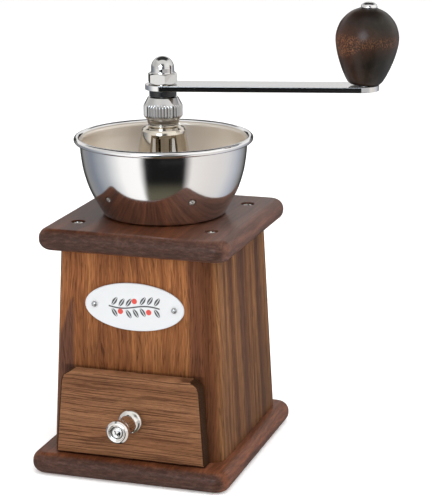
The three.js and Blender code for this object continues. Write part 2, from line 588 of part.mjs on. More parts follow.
// oval plate on the front and its two rivets
const plateGroup = new THREE.Group();
plateGroup.position.set(0, faceY(83.6) - GAP, 83.6);
plateGroup.rotation.x = Math.PI / 2 - TILT;
grinder.add(plateGroup);
{
  const s = new THREE.Shape();
  s.absellipse(0, 0, 24.8, 11.5, 0, 2 * Math.PI, false, 0);
  for (const x of [-20, 20]) {
    const h = new THREE.Path();
    h.absarc(x, 0, 1.1, 0, 2 * Math.PI, true);
    s.holes.push(h);
  }
  add('name_plate', new THREE.ExtrudeGeometry(s, { depth: 0.8, bevelEnabled: false, curveSegments: 18 }), M.enamel, plateGroup);
}
[['plate_rivet_left', -20], ['plate_rivet_right', 20]].forEach(([name, x]) => {
  const g = turned([[0, -4], [0.8, -4], [0.8, 1.1], [1.4, 1.1], [1.25, 1.6], [0.8, 1.85], [0, 1.9]], 10);
  g.translate(x, 0, 0);
  add(name, g, M.steel, plateGroup);
});

export default grinder;
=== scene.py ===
import bpy
import bmesh
import math
from mathutils import Matrix, Vector


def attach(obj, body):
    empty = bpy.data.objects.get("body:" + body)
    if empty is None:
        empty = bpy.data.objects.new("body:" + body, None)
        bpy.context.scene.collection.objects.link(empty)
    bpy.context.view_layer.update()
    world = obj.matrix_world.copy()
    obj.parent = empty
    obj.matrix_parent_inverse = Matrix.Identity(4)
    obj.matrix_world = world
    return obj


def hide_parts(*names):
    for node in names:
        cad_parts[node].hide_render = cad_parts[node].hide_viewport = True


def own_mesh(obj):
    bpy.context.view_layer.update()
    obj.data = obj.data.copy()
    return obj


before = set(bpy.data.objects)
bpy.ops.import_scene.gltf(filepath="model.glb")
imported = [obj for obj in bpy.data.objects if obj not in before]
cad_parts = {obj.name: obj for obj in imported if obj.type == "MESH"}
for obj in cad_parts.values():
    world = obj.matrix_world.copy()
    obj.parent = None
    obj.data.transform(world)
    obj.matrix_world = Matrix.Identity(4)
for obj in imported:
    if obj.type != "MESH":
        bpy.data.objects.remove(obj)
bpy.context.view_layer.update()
scene = bpy.context.scene
scene.view_settings.view_transform = "Standard"
scene.view_settings.look = "None"
RAD = math.radians
MM = 0.001

# sizes in millimetres, as in the construction
BASE_HX, BASE_Y0, BASE_Y1, BASE_T = 50.0, -60.0, 53.0, 10.5
TOP_HX, TOP_HY, TOP_Z, TOP_T = 47.8, 50.0, 108.7, 10.6
TOP_TOP = TOP_Z + TOP_T
HX0, HX1, HY0, HY1 = 43.5, 39.5, 46.0, 42.0
TILT = math.atan(4.0 / (TOP_Z - BASE_T))
ARM_ANGLE = 13.5
Z0B = TOP_TOP + 0.3
FOOT_Z = Z0B + 1.3
WINDOW_DIR, WINDOW_HALF = -54.6, 48.5


def face_y(z):
    return -(HY0 - (HY0 - HY1) * (z - BASE_T) / (TOP_Z - BASE_T))


# ------------------------------------------------------------------ node tools
class Mat:
    """A material and short ways to wire its nodes."""

    def __init__(self, name):
        self.m = bpy.data.materials.new(name)
        self.m.use_nodes = True
        self.t = self.m.node_tree
        self.t.nodes.clear()
        self.out = self.t.nodes.new("ShaderNodeOutputMaterial")
        self.b = self.t.nodes.new("ShaderNodeBsdfPrincipled")
        self.t.links.new(self.b.outputs[0], self.out.inputs[0])

    def put(self, socket, value):
        if isinstance(value, bpy.types.NodeSocket):
            self.t.links.new(value, socket)
        elif isinstance(value, (tuple, list)) and len(value) == 3 and socket.type == "RGBA":
            socket.default_value = (*value, 1.0)
        else:
            socket.default_value = value

    def set(self, **kw):
        names = {"color": "Base Color", "rough": "Roughness", "metal": "Metallic", "coat": "Coat Weight",
                 "coat_rough": "Coat Roughness", "ior": "IOR", "spec": "Specular IOR Level",
                 "normal": "Normal", "aniso": "Anisotropic"}
        for k, v in kw.items():
            self.put(self.b.inputs[names[k]], v)
        return self

    def math(self, op, a, b=0.0, c=0.0, clamp=False):
        n = self.t.nodes.new("ShaderNodeMath")
        n.operation = op
        n.use_clamp = clamp
        self.put(n.inputs[0], a)
        self.put(n.inputs[1], b)
        if op in ("MULTIPLY_ADD", "SMOOTH_MIN", "SMOOTH_MAX", "COMPARE"):
            self.put(n.inputs[2], c)
        return n.outputs[0]

    def add(self, a, b):
        return self.math("ADD", a, b)

    def sub(self, a, b):
        return self.math("SUBTRACT", a, b)

    def mul(self, a, b):
        return self.math("MULTIPLY", a, b)

    def coords(self):
        """x, y, z of the piece in millimetres."""
        tc = self.t.nodes.new("ShaderNodeTexCoord")
        sp = self.t.nodes.new("ShaderNodeSeparateXYZ")
        self.t.links.new(tc.outputs["Object"], sp.inputs[0])
        return [self.mul(sp.outputs[i], 1000.0) for i in range(3)]

    def vec(self, x, y, z):
        n = self.t.nodes.new("ShaderNodeCombineXYZ")
        for i, v in enumerate((x, y, z)):
            self.put(n.inputs[i], v)
        return n.outputs[0]

    def noise(self, vec, scale=1.0, detail=2.0, rough=0.5, dist=0.0):
        n = self.t.nodes.new("ShaderNodeTexNoise")
        self.put(n.inputs["Vector"], vec)
        n.inputs["Scale"].default_value = scale
        n.inputs["Detail"].default_value = detail
        n.inputs["Roughness"].default_value = rough
        n.inputs["Distortion"].default_value = dist
        return n.outputs["Fac"]

    def step(self, v, lo, hi, a=0.0, b=1.0, smooth=True):
        n = self.t.nodes.new("ShaderNodeMapRange")
        n.interpolation_type = "SMOOTHSTEP" if smooth else "LINEAR"
        n.clamp = True
        self.put(n.inputs[0], v)
        for i, x in enumerate((lo, hi, a, b)):
            self.put(n.inputs[i + 1], x)
        return n.outputs[0]

    def ramp(self, fac, stops, mode="LINEAR"):
        n = self.t.nodes.new("ShaderNodeValToRGB")
        n.color_ramp.interpolation = mode
        e = n.color_ramp.elements
        while len(e) < len(stops):
            e.new(0.5)
        for i, (p, c) in enumerate(stops):
            e[i].position = p
            e[i].color = (*c, 1.0) if len(c) == 3 else c
        self.put(n.inputs[0], fac)
        return n.outputs[0]

    def mix(self, fac, a, b, mode="MIX"):
        n = self.t.nodes.new("ShaderNodeMix")
        n.data_type = "RGBA"
        n.blend_type = mode
        n.clamp_factor = True
        self.put(n.inputs[0], fac)
        self.put(n.inputs[6], a)
        self.put(n.inputs[7], b)
        return n.outputs[2]

    def scale_color(self, color, fac):
        """color times a grey factor."""
        n = self.t.nodes.new("ShaderNodeVectorMath")
        n.operation = "SCALE"
        self.put(n.inputs[0], color)
        self.put(n.inputs["Scale"], fac)
        return n.outputs[0]

    def bump(self, height, strength, distance):
        n = self.t.nodes.new("ShaderNodeBump")
        n.inputs["Strength"].default_value = strength
        n.inputs["Distance"].default_value = distance
        self.put(n.inputs["Height"], height)
        self.put(self.b.inputs["Normal"], n.outputs[0])


# ------------------------------------------------------------------ materials
def long_grain(m, across, depth, along, seed, wander=1.0):
    """Streaks, fibres and pores of a straight-grained wood. Returns the shifted
    across coordinate and the four layers."""
    w1 = m.noise(m.vec(m.mul(across, 0.035), seed, m.mul(along, 0.011)), detail=2.0)
    w2 = m.noise(m.vec(m.mul(across, 0.22), seed + 3.0, m.mul(along, 0.055)), detail=2.0)
    u = m.add(across, m.mul(m.sub(w1, 0.5), 14.0 * wander))
    u = m.add(u, m.mul(m.sub(w2, 0.5), 2.2 * wander))
    d = m.mul(depth, 0.05)
    band = m.noise(m.vec(m.mul(u, 0.105), m.add(d, seed + 11.0), m.mul(along, 0.0035)), detail=3.0, rough=0.62)
    streak = m.noise(m.vec(m.mul(u, 0.95), m.add(d, seed + 23.0), m.mul(along, 0.022)), detail=3.0, rough=0.65)
    fibre = m.noise(m.vec(m.mul(u, 2.1), m.add(d, seed + 37.0), m.mul(along, 0.09)), detail=2.0, rough=0.6)
    pore = m.noise(m.vec(m.mul(u, 1.75), m.add(m.mul(depth, 2.0), seed + 51.0), m.mul(along, 0.125)), detail=1.0)
    return u, band, streak, fibre, pore


def finish_wood(m, color, fibre, pore, rough=0.42, pore_depth=0.55, spec=0.5):
    dark = m.step(pore, 0.57, 0.65)
    color = m.mix(m.mul(dark, pore_depth), color, m.scale_color(color, 0.40))
    m.set(color=color, rough=m.add(rough - 0.05, m.mul(fibre, 0.10)))
    m.b.inputs["Specular IOR Level"].default_value = spec
    m.bump(m.sub(m.mul(fibre, 0.5), dark), 0.35, 0.00006)
    return m


def mat_panels():
    m = Mat("walnut_panels")
    x, y, z = m.coords()
    ax, ay = m.math("ABSOLUTE", x), m.math("ABSOLUTE", y)
    rise = m.mul(m.sub(z, BASE_T), (HX0 - HX1) / (TOP_Z - BASE_T))
    back = m.step(y, -1.0, 1.0, 0.0, 260.0)
    left = m.step(x, -1.0, 1.0, 430.0, 0.0)
    front = m.step(y, -20.0, -10.0, 1.0, 0.0)
    # front and back faces
    uf = m.add(x, back)
    u, band, streak, fibre, pore = long_grain(m, uf, 0.0, z, 4.0, 1.0)
    cf = m.ramp(band, [(0.26, (0.120, 0.040, 0.018)), (0.37, (0.182, 0.064, 0.025)), (0.46, (0.255, 0.093, 0.034)),
                       (0.55, (0.340, 0.136, 0.050)), (0.64, (0.255, 0.094, 0.035)), (0.76, (0.158, 0.055, 0.023))])
    mid = m.noise(m.vec(m.mul(u, 0.33), 9.0, m.mul(z, 0.0085)), detail=3.0, rough=0.6)
    cf = m.mix(m.mul(m.step(mid, 0.52, 0.63), 0.30), cf, (0.115, 0.038, 0.016))
    cf = m.mix(m.mul(m.step(mid, 0.36, 0.46, 1.0, 0.0), 0.28), cf, (0.400, 0.172, 0.058))
    cf = m.scale_color(cf, m.step(streak, 0.34, 0.66, 0.76, 1.18, smooth=False))
    cf = m.scale_color(cf, m.step(z, 60.0, 100.0, 0.80, 1.05))
    cf = m.scale_color(cf, m.step(fibre, 0.34, 0.66, 0.66, 1.29, smooth=False))
    # a dark pointed flame of heartwood low on the left of the front, and a dark streak on its right
    edge = m.mul(m.sub(m.noise(m.vec(m.mul(x, 0.9), 3.0, m.mul(z, 0.05)), detail=3.0), 0.5), 3.0)
    xe = m.add(x, edge)
    lim = m.add(m.mul(z, 0.36), -62.9)
    flame = m.mul(m.step(xe, -31.9, -30.7, 1.0, 0.0), m.step(m.sub(xe, lim), -0.6, 0.9))
    flame = m.mul(m.mul(flame, m.step(z, 84.5, 89.0, 1.0, 0.0)), front)
    cf = m.mix(m.mul(flame, 0.86), cf, m.scale_color((0.098, 0.042, 0.027), m.step(fibre, 0.3, 0.7, 0.75, 1.25)))
    sx = m.math("ABSOLUTE", m.sub(m.add(m.add(x, rise), m.mul(edge, 0.8)), 32.6))
    line = m.mul(m.step(sx, 1.8, 4.8, 1.0, 0.0), front)
    cf = m.mix(m.mul(line, 0.78), cf, m.scale_color((0.100, 0.037, 0.019), m.step(streak, 0.3, 0.7, 0.7, 1.3)))
    # painted shade: a dark band on the wood just above the drawer stands in for the contact shadow of the closed drawer
    painted_shadow_above_drawer = m.mul(m.step(z, 51.6, 53.2, 1.0, 0.0), m.mul(m.step(ax, 34.5, 37.5, 1.0, 0.0), front))
    cf = m.scale_color(cf, m.step(painted_shadow_above_drawer, 0.0, 1.0, 1.0, 0.55))
    # side faces: straighter and more striped, with two wide grey-brown bands
    us = m.add(m.add(y, left), 71.0)
    u2, band2, streak2, fibre2, pore2 = long_grain(m, us, 0.0, z, 67.0, 0.45)
    cs = m.ramp(band2, [(0.28, (0.070, 0.029, 0.017)), (0.39, (0.118, 0.046, 0.020)), (0.47, (0.188, 0.077, 0.029)),
                        (0.54, (0.268, 0.120, 0.046)), (0.61, (0.172, 0.070, 0.027)), (0.72, (0.098, 0.041, 0.023))])
    mid2 = m.noise(m.vec(m.mul(u2, 0.40), 29.0, m.mul(z, 0.0085)), detail=3.0, rough=0.6)
    cs = m.mix(m.mul(m.step(mid2, 0.52, 0.62), 0.42), cs, (0.085, 0.037, 0.021))
    cs = m.mix(m.mul(m.step(mid2, 0.37, 0.46, 1.0, 0.0), 0.32), cs, (0.290, 0.140, 0.058))
    for centre, lean, half in ((-4.0, -0.055, 5.0), (24.0, -0.02, 4.2)):
        q = m.sub(m.add(m.add(y, m.mul(z, -lean)), m.mul(edge, 0.7)), centre + 60.0 * -lean)
        q = m.step(m.math("ABSOLUTE", q), half * 0.6, half * 1.25, 1.0, 0.0)
        cs = m.mix(m.mul(q, 0.55), cs, (0.088, 0.040, 0.025))
    cs = m.scale_color(cs, m.step(streak2, 0.34, 0.66, 0.76, 1.20, smooth=False))
    cs = m.scale_color(cs, m.step(z, 20.0, 75.0, 0.76, 1.0))
    cs = m.scale_color(cs, m.step(y, -10.0, 30.0, 0.97, 0.80))
    cs = m.scale_color(cs, m.step(fibre2, 0.34, 0.66, 0.68, 1.27, smooth=False))
    side = m.step(m.add(m.sub(ax, ay), 2.5), -1.6, 1.6)
    color = m.mix(side, cf, cs)
    # the rounded corner right of the front shows darker, redder wood
    corner = m.mul(m.step(m.add(x, rise), 34.2, 37.2), m.mul(m.sub(1.0, side), front))
    color = m.mix(m.mul(corner, 0.90), color, m.scale_color((0.098, 0.035, 0.0145), m.step(streak, 0.3, 0.7, 0.7, 1.3)))
    fib = m.add(m.mul(fibre, m.sub(1.0, side)), m.mul(fibre2, side))
    por = m.add(m.mul(pore, m.sub(1.0, side)), m.mul(pore2, side))
    # end grain of the lower and upper ends is never seen; the rest is satin
    return finish_wood(m, color, fib, por, 0.44, pore_depth=0.62, spec=0.07).m


def mat_board(name, seed, yc, hy, tone, right_sheen_paint):
    """Dark board with its grain from front to back, cut so that rings show on the front edge."""
    m = Mat(name)
    x, y, z = m.coords()
    w = m.noise(m.vec(m.mul(x, 0.03), m.mul(y, 0.009), seed), detail=2.0)
    xs = m.add(x, m.mul(m.sub(w, 0.5), 16.0))
    dx, dz = m.sub(xs, 16.0), m.add(z, 46.0 + seed)
    r = m.math("SQRT", m.add(m.mul(dx, dx), m.mul(dz, dz)))
    r = m.add(r, m.mul(m.noise(m.vec(m.mul(x, 0.12), m.mul(y, 0.018), m.mul(z, 0.12)), detail=3.0), 4.0))
    ring = m.math("FRACT", m.mul(r, 0.23))
    ring = m.math("ABSOLUTE", m.sub(ring, 0.5))
    cloud = m.noise(m.vec(m.mul(x, 0.075), m.mul(y, 0.012), m.add(m.mul(z, 0.11), seed)), detail=3.0, rough=0.6)
    streak = m.noise(m.vec(m.mul(xs, 0.8), m.mul(y, 0.02), m.add(m.mul(z, 0.5), seed)), detail=3.0, rough=0.6)
    fibre = m.noise(m.vec(m.mul(xs, 3.4), m.mul(y, 0.11), m.mul(z, 2.4)), detail=2.0, rough=0.6)
    pore = m.noise(m.vec(m.mul(xs, 5.5), m.mul(y, 0.40), m.mul(z, 4.0)), detail=1.0)
    c = m.ramp(cloud, [(0.32, (0.066, 0.0205, 0.0085)), (0.46, (0.090, 0.0285, 0.0120)), (0.58, (0.118, 0.0390, 0.0170)),
                       (0.70, (0.145, 0.0530, 0.0255))])
    mottle = m.noise(m.vec(m.mul(xs, 1.1), m.mul(y, 0.10), m.mul(z, 0.9)), detail=3.0, rough=0.65)
    c = m.scale_color(c, m.step(mottle, 0.34, 0.66, 0.70, 1.26, smooth=False))
    # painted sheen: the right part of the board is lightened in colour to stand in for a sheen
    c = m.scale_color(c, tone)
    c = m.mix(m.mul(m.step(x, 14.0, 40.0), right_sheen_paint), c, (0.235, 0.138, 0.112))
    c = m.scale_color(c, m.step(ring, 0.05, 0.45, 0.84, 1.08))
    c = m.scale_color(c, m.step(streak, 0.34, 0.66, 0.72, 1.24, smooth=False))
    c = m.scale_color(c, m.step(fibre, 0.30, 0.70, 0.78, 1.20, smooth=False))
    # the end grain of the front and back edges is darker and greyer
    end = m.step(m.math("ABSOLUTE", m.sub(y, yc)), hy - 3.6, hy - 1.2)
    grain = m.noise(m.vec(m.mul(x, 0.22), m.mul(y, 0.5), m.mul(z, 0.85)), detail=4.0, rough=0.7)
    c = m.mix(m.mul(end, 0.88), c, m.ramp(grain, [(0.34, (0.030, 0.0145, 0.0105)), (0.50, (0.052, 0.0255, 0.0185)), (0.66, (0.090, 0.046, 0.034))]))
    return finish_wood(m, c, fibre, pore, 0.31, pore_depth=0.4, spec=0.16).m


def mat_drawer_front(name, end_grain_and_shade=False):
    m = Mat(name)
    x, y, z = m.coords()
    w1 = m.noise(m.vec(m.mul(x, 0.020), 2.0, m.mul(z, 0.05)), detail=2.0)
    w2 = m.noise(m.vec(m.mul(x, 0.085), 8.0, m.mul(z, 0.22)), detail=2.0)
    v = m.add(z, m.add(m.mul(m.sub(w1, 0.5), 3.0), m.mul(m.sub(w2, 0.5), 0.5)))
    v = m.add(v, m.mul(x, 0.004))
    band = m.noise(m.vec(m.mul(x, 0.004), 5.0, m.mul(v, 0.12)), detail=3.0, rough=0.6)
    # fine dark dashes along the grain, about 1.3 mm apart, and longer darker lines
    dash = m.noise(m.vec(m.mul(x, 0.028), 31.0, m.mul(v, 1.45)), detail=2.0, rough=0.55)
    dash = m.step(dash, 0.51, 0.57)
    lines = m.noise(m.vec(m.mul(x, 0.012), 47.0, m.mul(v, 0.80)), detail=3.0, rough=0.6)
    lines = m.step(lines, 0.55, 0.62)
    streak = m.noise(m.vec(m.mul(x, 0.030), 14.0, m.mul(v, 2.0)), detail=3.0, rough=0.65)
    fibre = m.noise(m.vec(m.mul(x, 0.12), 21.0, m.mul(v, 3.6)), detail=2.0, rough=0.6)
    pore = m.noise(m.vec(m.mul(x, 0.30), m.mul(y, 2.0), m.mul(v, 5.5)), detail=1.0)
    c = m.ramp(band, [(0.30, (0.155, 0.068, 0.032)), (0.44, (0.205, 0.092, 0.043)), (0.58, (0.250, 0.118, 0.058)),
                      (0.72, (0.190, 0.086, 0.041))])
    c = m.scale_color(c, 1.06)
    c = m.mix(m.mul(dash, 0.78), c, (0.086, 0.035, 0.017))
    c = m.mix(m.mul(lines, 0.42), c, (0.078, 0.031, 0.014))
    c = m.scale_color(c, m.step(streak, 0.32, 0.68, 0.74, 1.22, smooth=False))
    c = m.scale_color(c, m.step(fibre, 0.30, 0.70, 0.84, 1.14, smooth=False))
    if end_grain_and_shade:
        # the two sides: sawn end grain, painted much darker still to stand in for the shade along the drawer's side
        # edges
        end = m.noise(m.vec(m.mul(y, 1.6), m.mul(z, 1.6), 7.0), detail=3.0)
        c = m.scale_color((0.034, 0.0150, 0.0070), m.step(end, 0.3, 0.7, 0.6, 1.5))
    return finish_wood(m, c, fibre, pore, 0.44, spec=0.06).m


def mat_box_wood():
    m = Mat("drawer_box_wood")
    x, y, z = m.coords()
    band = m.noise(m.vec(m.mul(x, 0.12), m.mul(y, 0.010), m.mul(z, 0.12)), detail=3.0, rough=0.6)
    streak = m.noise(m.vec(m.mul(x, 1.0), m.mul(y, 0.03), m.mul(z, 1.0)), detail=3.0, rough=0.6)
    fibre = m.noise(m.vec(m.mul(x, 4.0), m.mul(y, 0.15), m.mul(z, 4.0)), detail=2.0)
    pore = m.noise(m.vec(m.mul(x, 7.0), m.mul(y, 0.5), m.mul(z, 7.0)), detail=1.0)
    c = m.ramp(band, [(0.32, (0.36, 0.235, 0.130)), (0.5, (0.46, 0.315, 0.185)), (0.68, (0.53, 0.375, 0.230))])
    c = m.scale_color(c, m.step(streak, 0.3, 0.7, 0.88, 1.08, smooth=False))
    return finish_wood(m, c, fibre, pore, 0.62, 0.2).m


def mat_grip():
    m = Mat("grip_stained_wood")
    x, y, z = m.coords()
    cloud = m.noise(m.vec(m.mul(x, 0.10), m.mul(y, 0.10), m.mul(z, 0.05)), detail=4.0, rough=0.65)
    fleck = m.noise(m.vec(m.mul(x, 2.3), m.mul(y, 2.3), m.mul(m.add(z, m.mul(x, 0.6)), 1.25)), detail=2.0, rough=0.6)
    fibre = m.noise(m.vec(m.mul(x, 3.0), m.mul(y, 3.0), m.mul(z, 0.5)), detail=2.0)
    # near-black stain, browner to the left and greener to the right
    turn = m.step(x, 84.0, 106.0)
    c = m.mix(turn, (0.0250, 0.0105, 0.0062), (0.0150, 0.0122, 0.0085))
    c = m.scale_color(c, m.step(cloud, 0.34, 0.70, 0.55, 1.5))
    # the paler end grain shows as a band of fine flecks, widest on the left
    wide = m.step(x, 84.0, 99.0, 1.0, 0.0)
    off = m.math("ABSOLUTE", m.sub(z, m.sub(204.2, m.mul(wide, 1.4))))
    half = m.add(1.5, m.mul(wide, 3.0))
    belt = m.step(m.sub(off, half), -0.8, 2.2, 1.0, 0.0)
    grown = m.step(m.sub(off, half), 0.0, 8.0, 1.0, 0.0)
    c = m.mix(m.mul(grown, m.add(0.30, m.mul(wide, 0.26))), c, (0.062, 0.0235, 0.0115))
    speck = m.step(fleck, 0.50, 0.62)
    c = m.mix(m.mul(belt, m.mul(speck, m.add(0.32, m.mul(wide, 0.50)))), c, (0.300, 0.118, 0.048))
    c = m.scale_color(c, m.step(fibre, 0.3, 0.7, 0.8, 1.2, smooth=False))
    m.set(color=c, rough=m.add(0.27, m.mul(fleck, 0.12)))
    m.b.inputs["Specular IOR Level"].default_value = 0.22
    m.b.inputs["Coat Weight"].default_value = 0.05
    m.b.inputs["Coat Roughness"].default_value = 0.16
    m.bump(m.add(fleck, m.mul(fibre, 0.6)), 0.30, 0.00012)
    return m.m


def mat_metal(name, color, rough, brushed=0.0, axis="z", spots=0.02):
    """Plated metal: faint cloudiness and, where brushed, fine lines round the axis."""
    m = Mat(name)
    x, y, z = m.coords()
    cloud = m.noise(m.vec(m.mul(x, 0.09), m.mul(y, 0.09), m.mul(z, 0.09)), detail=3.0)
    fine = m.noise(m.vec(m.mul(x, 1.3), m.mul(y, 1.3), m.mul(z, 1.3)), detail=3.0)
    c = m.mix(m.mul(fine, spots * 4.0), color, tuple(v * 0.72 for v in color))
    r = m.add(rough * 0.8, m.mul(cloud, rough * 0.4))
    if brushed:
        q = m.math("SQRT", m.add(m.mul(x, x), m.mul(y, y)))
        lines = m.noise(m.vec(m.mul(q, 3.0), 0.0, m.mul(z, 6.0)), detail=3.0, rough=0.7)
        r = m.add(r, m.mul(m.sub(lines, 0.5), brushed))
        m.bump(lines, 0.10, 0.00003)
    m.set(color=c, rough=r)
    m.b.inputs["Metallic"].default_value = 1.0
    return m.m


def mat_gloss(name, color, rough):
    m = Mat(name)
    x, y, z = m.coords()
    n = m.noise(m.vec(m.mul(x, 0.6), m.mul(y, 0.6), m.mul(z, 0.6)), detail=3.0)
    c = m.mix(m.mul(n, 0.25), color, tuple(min(1.0, v * 1.5 + 0.004) for v in color))
    m.set(color=c, rough=m.add(rough, m.mul(n, 0.05)))
    m.b.inputs["Coat Weight"].default_value = 0.05
    m.b.inputs["Coat Roughness"].default_value = 0.08
    return m.m


def mat_plate():
    """White enamel with a plain leafy twig and berries."""
    m = Mat("white_enamel")
    x, y, z = m.coords()
    v = m.mul(m.sub(z, 83.6), 1.0 / math.cos(TILT))
    n = m.noise(m.vec(m.mul(x, 0.25), 0.0, m.mul(z, 0.25)), detail=3.0)
    white = m.mix(m.mul(n, 0.30), (0.672, 0.686, 0.700), (0.620, 0.638, 0.660))

    def oval(cx, cv, a, b, turn):
        du, dv = m.sub(x, cx), m.sub(v, cv)
        ct, st = math.cos(RAD(turn)), math.sin(RAD(turn))
        p = m.add(m.mul(du, ct), m.mul(dv, st))
        q = m.add(m.mul(du, -st), m.mul(dv, ct))
        e = m.add(m.mul(m.mul(p, 1 / a), m.mul(p, 1 / a)), m.mul(m.mul(q, 1 / b), m.mul(q, 1 / b)))
        return m.math("SQRT", e), p, q

    def leaf(cx, cv, a, b, turn):
        """A pointed leaf with a pale rib."""
        e, p, q = oval(cx, cv, a, b, turn)
        width = m.sub(1.0, m.mul(m.mul(p, 1 / a), m.mul(p, 1 / a)))
        body = m.step(m.sub(m.math("ABSOLUTE", q), m.mul(width, b)), -0.10, 0.10, 1.0, 0.0)
        rib = m.step(m.math("ABSOLUTE", q), 0.08, 0.22)
        return m.mul(m.mul(body, rib), m.step(m.math("ABSOLUTE", p), a - 0.2, a, 1.0, 0.0))

    # one gently bent stem with leaves on both sides, and three berries
    bend = m.mul(m.math("SINE", m.mul(x, 2 * math.pi / 27.0)), 0.9)
    stem = m.math("ABSOLUTE", m.sub(v, bend))
    black = m.mul(m.step(stem, 0.22, 0.50, 1.0, 0.0), m.step(m.math("ABSOLUTE", x), 12.6, 13.0, 1.0, 0.0))
    for k in range(7):
        cx = -11.2 + 3.55 * k
        mid = 0.9 * math.sin(2 * math.pi * cx / 27.0)
        for s in (1, -1):
            if k in (1, 5) and s < 0 or k == 3 and s > 0:
                continue
            black = m.math("MAXIMUM", black, leaf(cx + 1.35, mid + s * 2.75, 2.6, 1.05, s * 56.0))
    red = None
    for cx, cv in ((-6.9, -2.5), (0.1, 2.9), (7.3, -1.9)):
        e, _, _ = oval(cx, cv, 1.35, 1.35, 0)
        dot = m.step(e, 0.90, 1.10, 1.0, 0.0)
        red = dot if red is None else m.math("MAXIMUM", red, dot)
    e, _, _ = oval(0, 0, 24.8, 11.5, 0)
    border = m.mul(m.step(e, 0.965, 0.975), m.step(e, 0.982, 0.992, 1.0, 0.0))
    c = m.mix(m.mul(border, 0.18), white, (0.35, 0.36, 0.38))
    c = m.mix(m.mul(black, 0.94), c, (0.018, 0.018, 0.020))
    c = m.mix(red, c, (0.62, 0.050, 0.034))
    m.set(color=c, rough=m.add(0.20, m.mul(n, 0.06)))
    m.b.inputs["Coat Weight"].default_value = 0.35
    m.b.inputs["Coat Roughness"].default_value = 0.10
    return m.m


WALNUT = mat_panels()
TOPWOOD = mat_board("dark_walnut_top", 3.0, 0.0, TOP_HY, 0.84, 0.30)
BASEWOOD = mat_board("dark_walnut_base", 21.0, (BASE_Y0 + BASE_Y1) / 2, (BASE_Y1 - BASE_Y0) / 2, 1.26, 0.04)
DRAWERWOOD = mat_drawer_front("walnut_drawer_front")
DRAWER_END_GRAIN_AND_SHADE = mat_drawer_front("walnut_end_grain_and_painted_shade", end_grain_and_shade=True)
BOXWOOD = mat_box_wood()
GRIPWOOD = mat_grip()
NICKEL = mat_metal("polished_nickel", (0.77, 0.76, 0.75), 0.085)
CAPMETAL = mat_metal("cap_nickel", (0.62, 0.61, 0.595), 0.075)
NUTMETAL = mat_metal("nut_nickel", (0.59, 0.58, 0.565), 0.10)
MIRROR = mat_metal("polished_bowl", (0.82, 0.81, 0.80), 0.105)
INSIDE = mat_metal("satin_bowl_inside", (0.84, 0.765, 0.675), 0.44, brushed=0.10)
RIM = mat_metal("polished_rim", (0.82, 0.81, 0.80), 0.05)
WARM = mat_metal("warm_nickel", (0.71, 0.645, 0.545), 0.10)
SCREWMETAL = mat_metal("screw_nickel", (0.64, 0.61, 0.57), 0.24, spots=0.05)
KNOBMETAL = mat_metal("knob_nickel", (0.78, 0.745, 0.70), 0.14)
STEEL = mat_metal("bright_zinc", (0.62, 0.62, 0.625), 0.28, spots=0.05)
BURR = mat_metal("burr_steel", (0.25, 0.25, 0.26), 0.45, spots=0.06)
IRON = mat_metal("dark_casting", (0.10, 0.10, 0.11), 0.60, spots=0.08)
BLACK = mat_gloss("gloss_black", (0.008, 0.008, 0.009), 0.24)
PLATE = mat_plate()
RIVET = mat_metal("rivet_alloy", (0.50, 0.50, 0.49), 0.34, spots=0.06)
# painted shade: a near-black metal made for the cross recess of the knob screw, to stand in for the shade inside it
RECESS_PAINTED_SHADE = mat_metal("recess_painted_shade", (0.06, 0.06, 0.062), 0.5)


# ------------------------------------------------------------------ mesh tools
def mesh_from(name, verts, faces, mats, face_mat=None):
    me = bpy.data.meshes.new(name)
    me.from_pydata([tuple(v) for v in verts], [], faces)
    for k in mats:
        me.materials.append(k)
    if face_mat:
        for p, i in zip(me.polygons, face_mat):
            p.material_index = i
    bm = bmesh.new()
    bm.from_mesh(me)
    bmesh.ops.remove_doubles(bm, verts=bm.verts, dist=1e-5)
    bmesh.ops.recalc_face_normals(bm, faces=bm.faces)
    bm.to_mesh(me)
    bm.free()
    ob = bpy.data.objects.new(name, me)
    scene.collection.objects.link(ob)
    return ob


def carve(ob, cutters, op="DIFFERENCE"):
    """Applies booleans in millimetre space and drops the cutters."""
    for c in cutters:
        mod = ob.modifiers.new("b", "BOOLEAN")
        mod.operation = op
        mod.solver = "EXACT"
        mod.object = c
    bpy.context.view_layer.update()
    dg = bpy.context.evaluated_depsgraph_get()
    me = bpy.data.meshes.new_from_object(ob.evaluated_get(dg))
    ob.modifiers.clear()
    ob.data = me
    for c in cutters:
        bpy.data.objects.remove(c)
    return ob


def place(ob, body, nodes=(), M=None, sharp=38.0, weighted=True):
    """Scales a millimetre mesh to metres at its place, smooths it and lets it ride."""
    if M is not None:
        ob.data.transform(M)
    ob.data.transform(Matrix.Scale(MM, 4))
    for p in ob.data.polygons:
        p.use_smooth = True
    ob.data.set_sharp_from_angle(angle=RAD(sharp))
    if weighted:
        mod = ob.modifiers.new("normals", "WEIGHTED_NORMAL")
        mod.keep_sharp = True
    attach(ob, body)
    if nodes:
        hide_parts(*nodes)
    return ob


def arc(cx, cy, r, a0, a1, n):
    return [(cx + r * math.cos(RAD(a0 + (a1 - a0) * i / n)), cy + r * math.sin(RAD(a0 + (a1 - a0) * i / n))) for i in range(n + 1)]


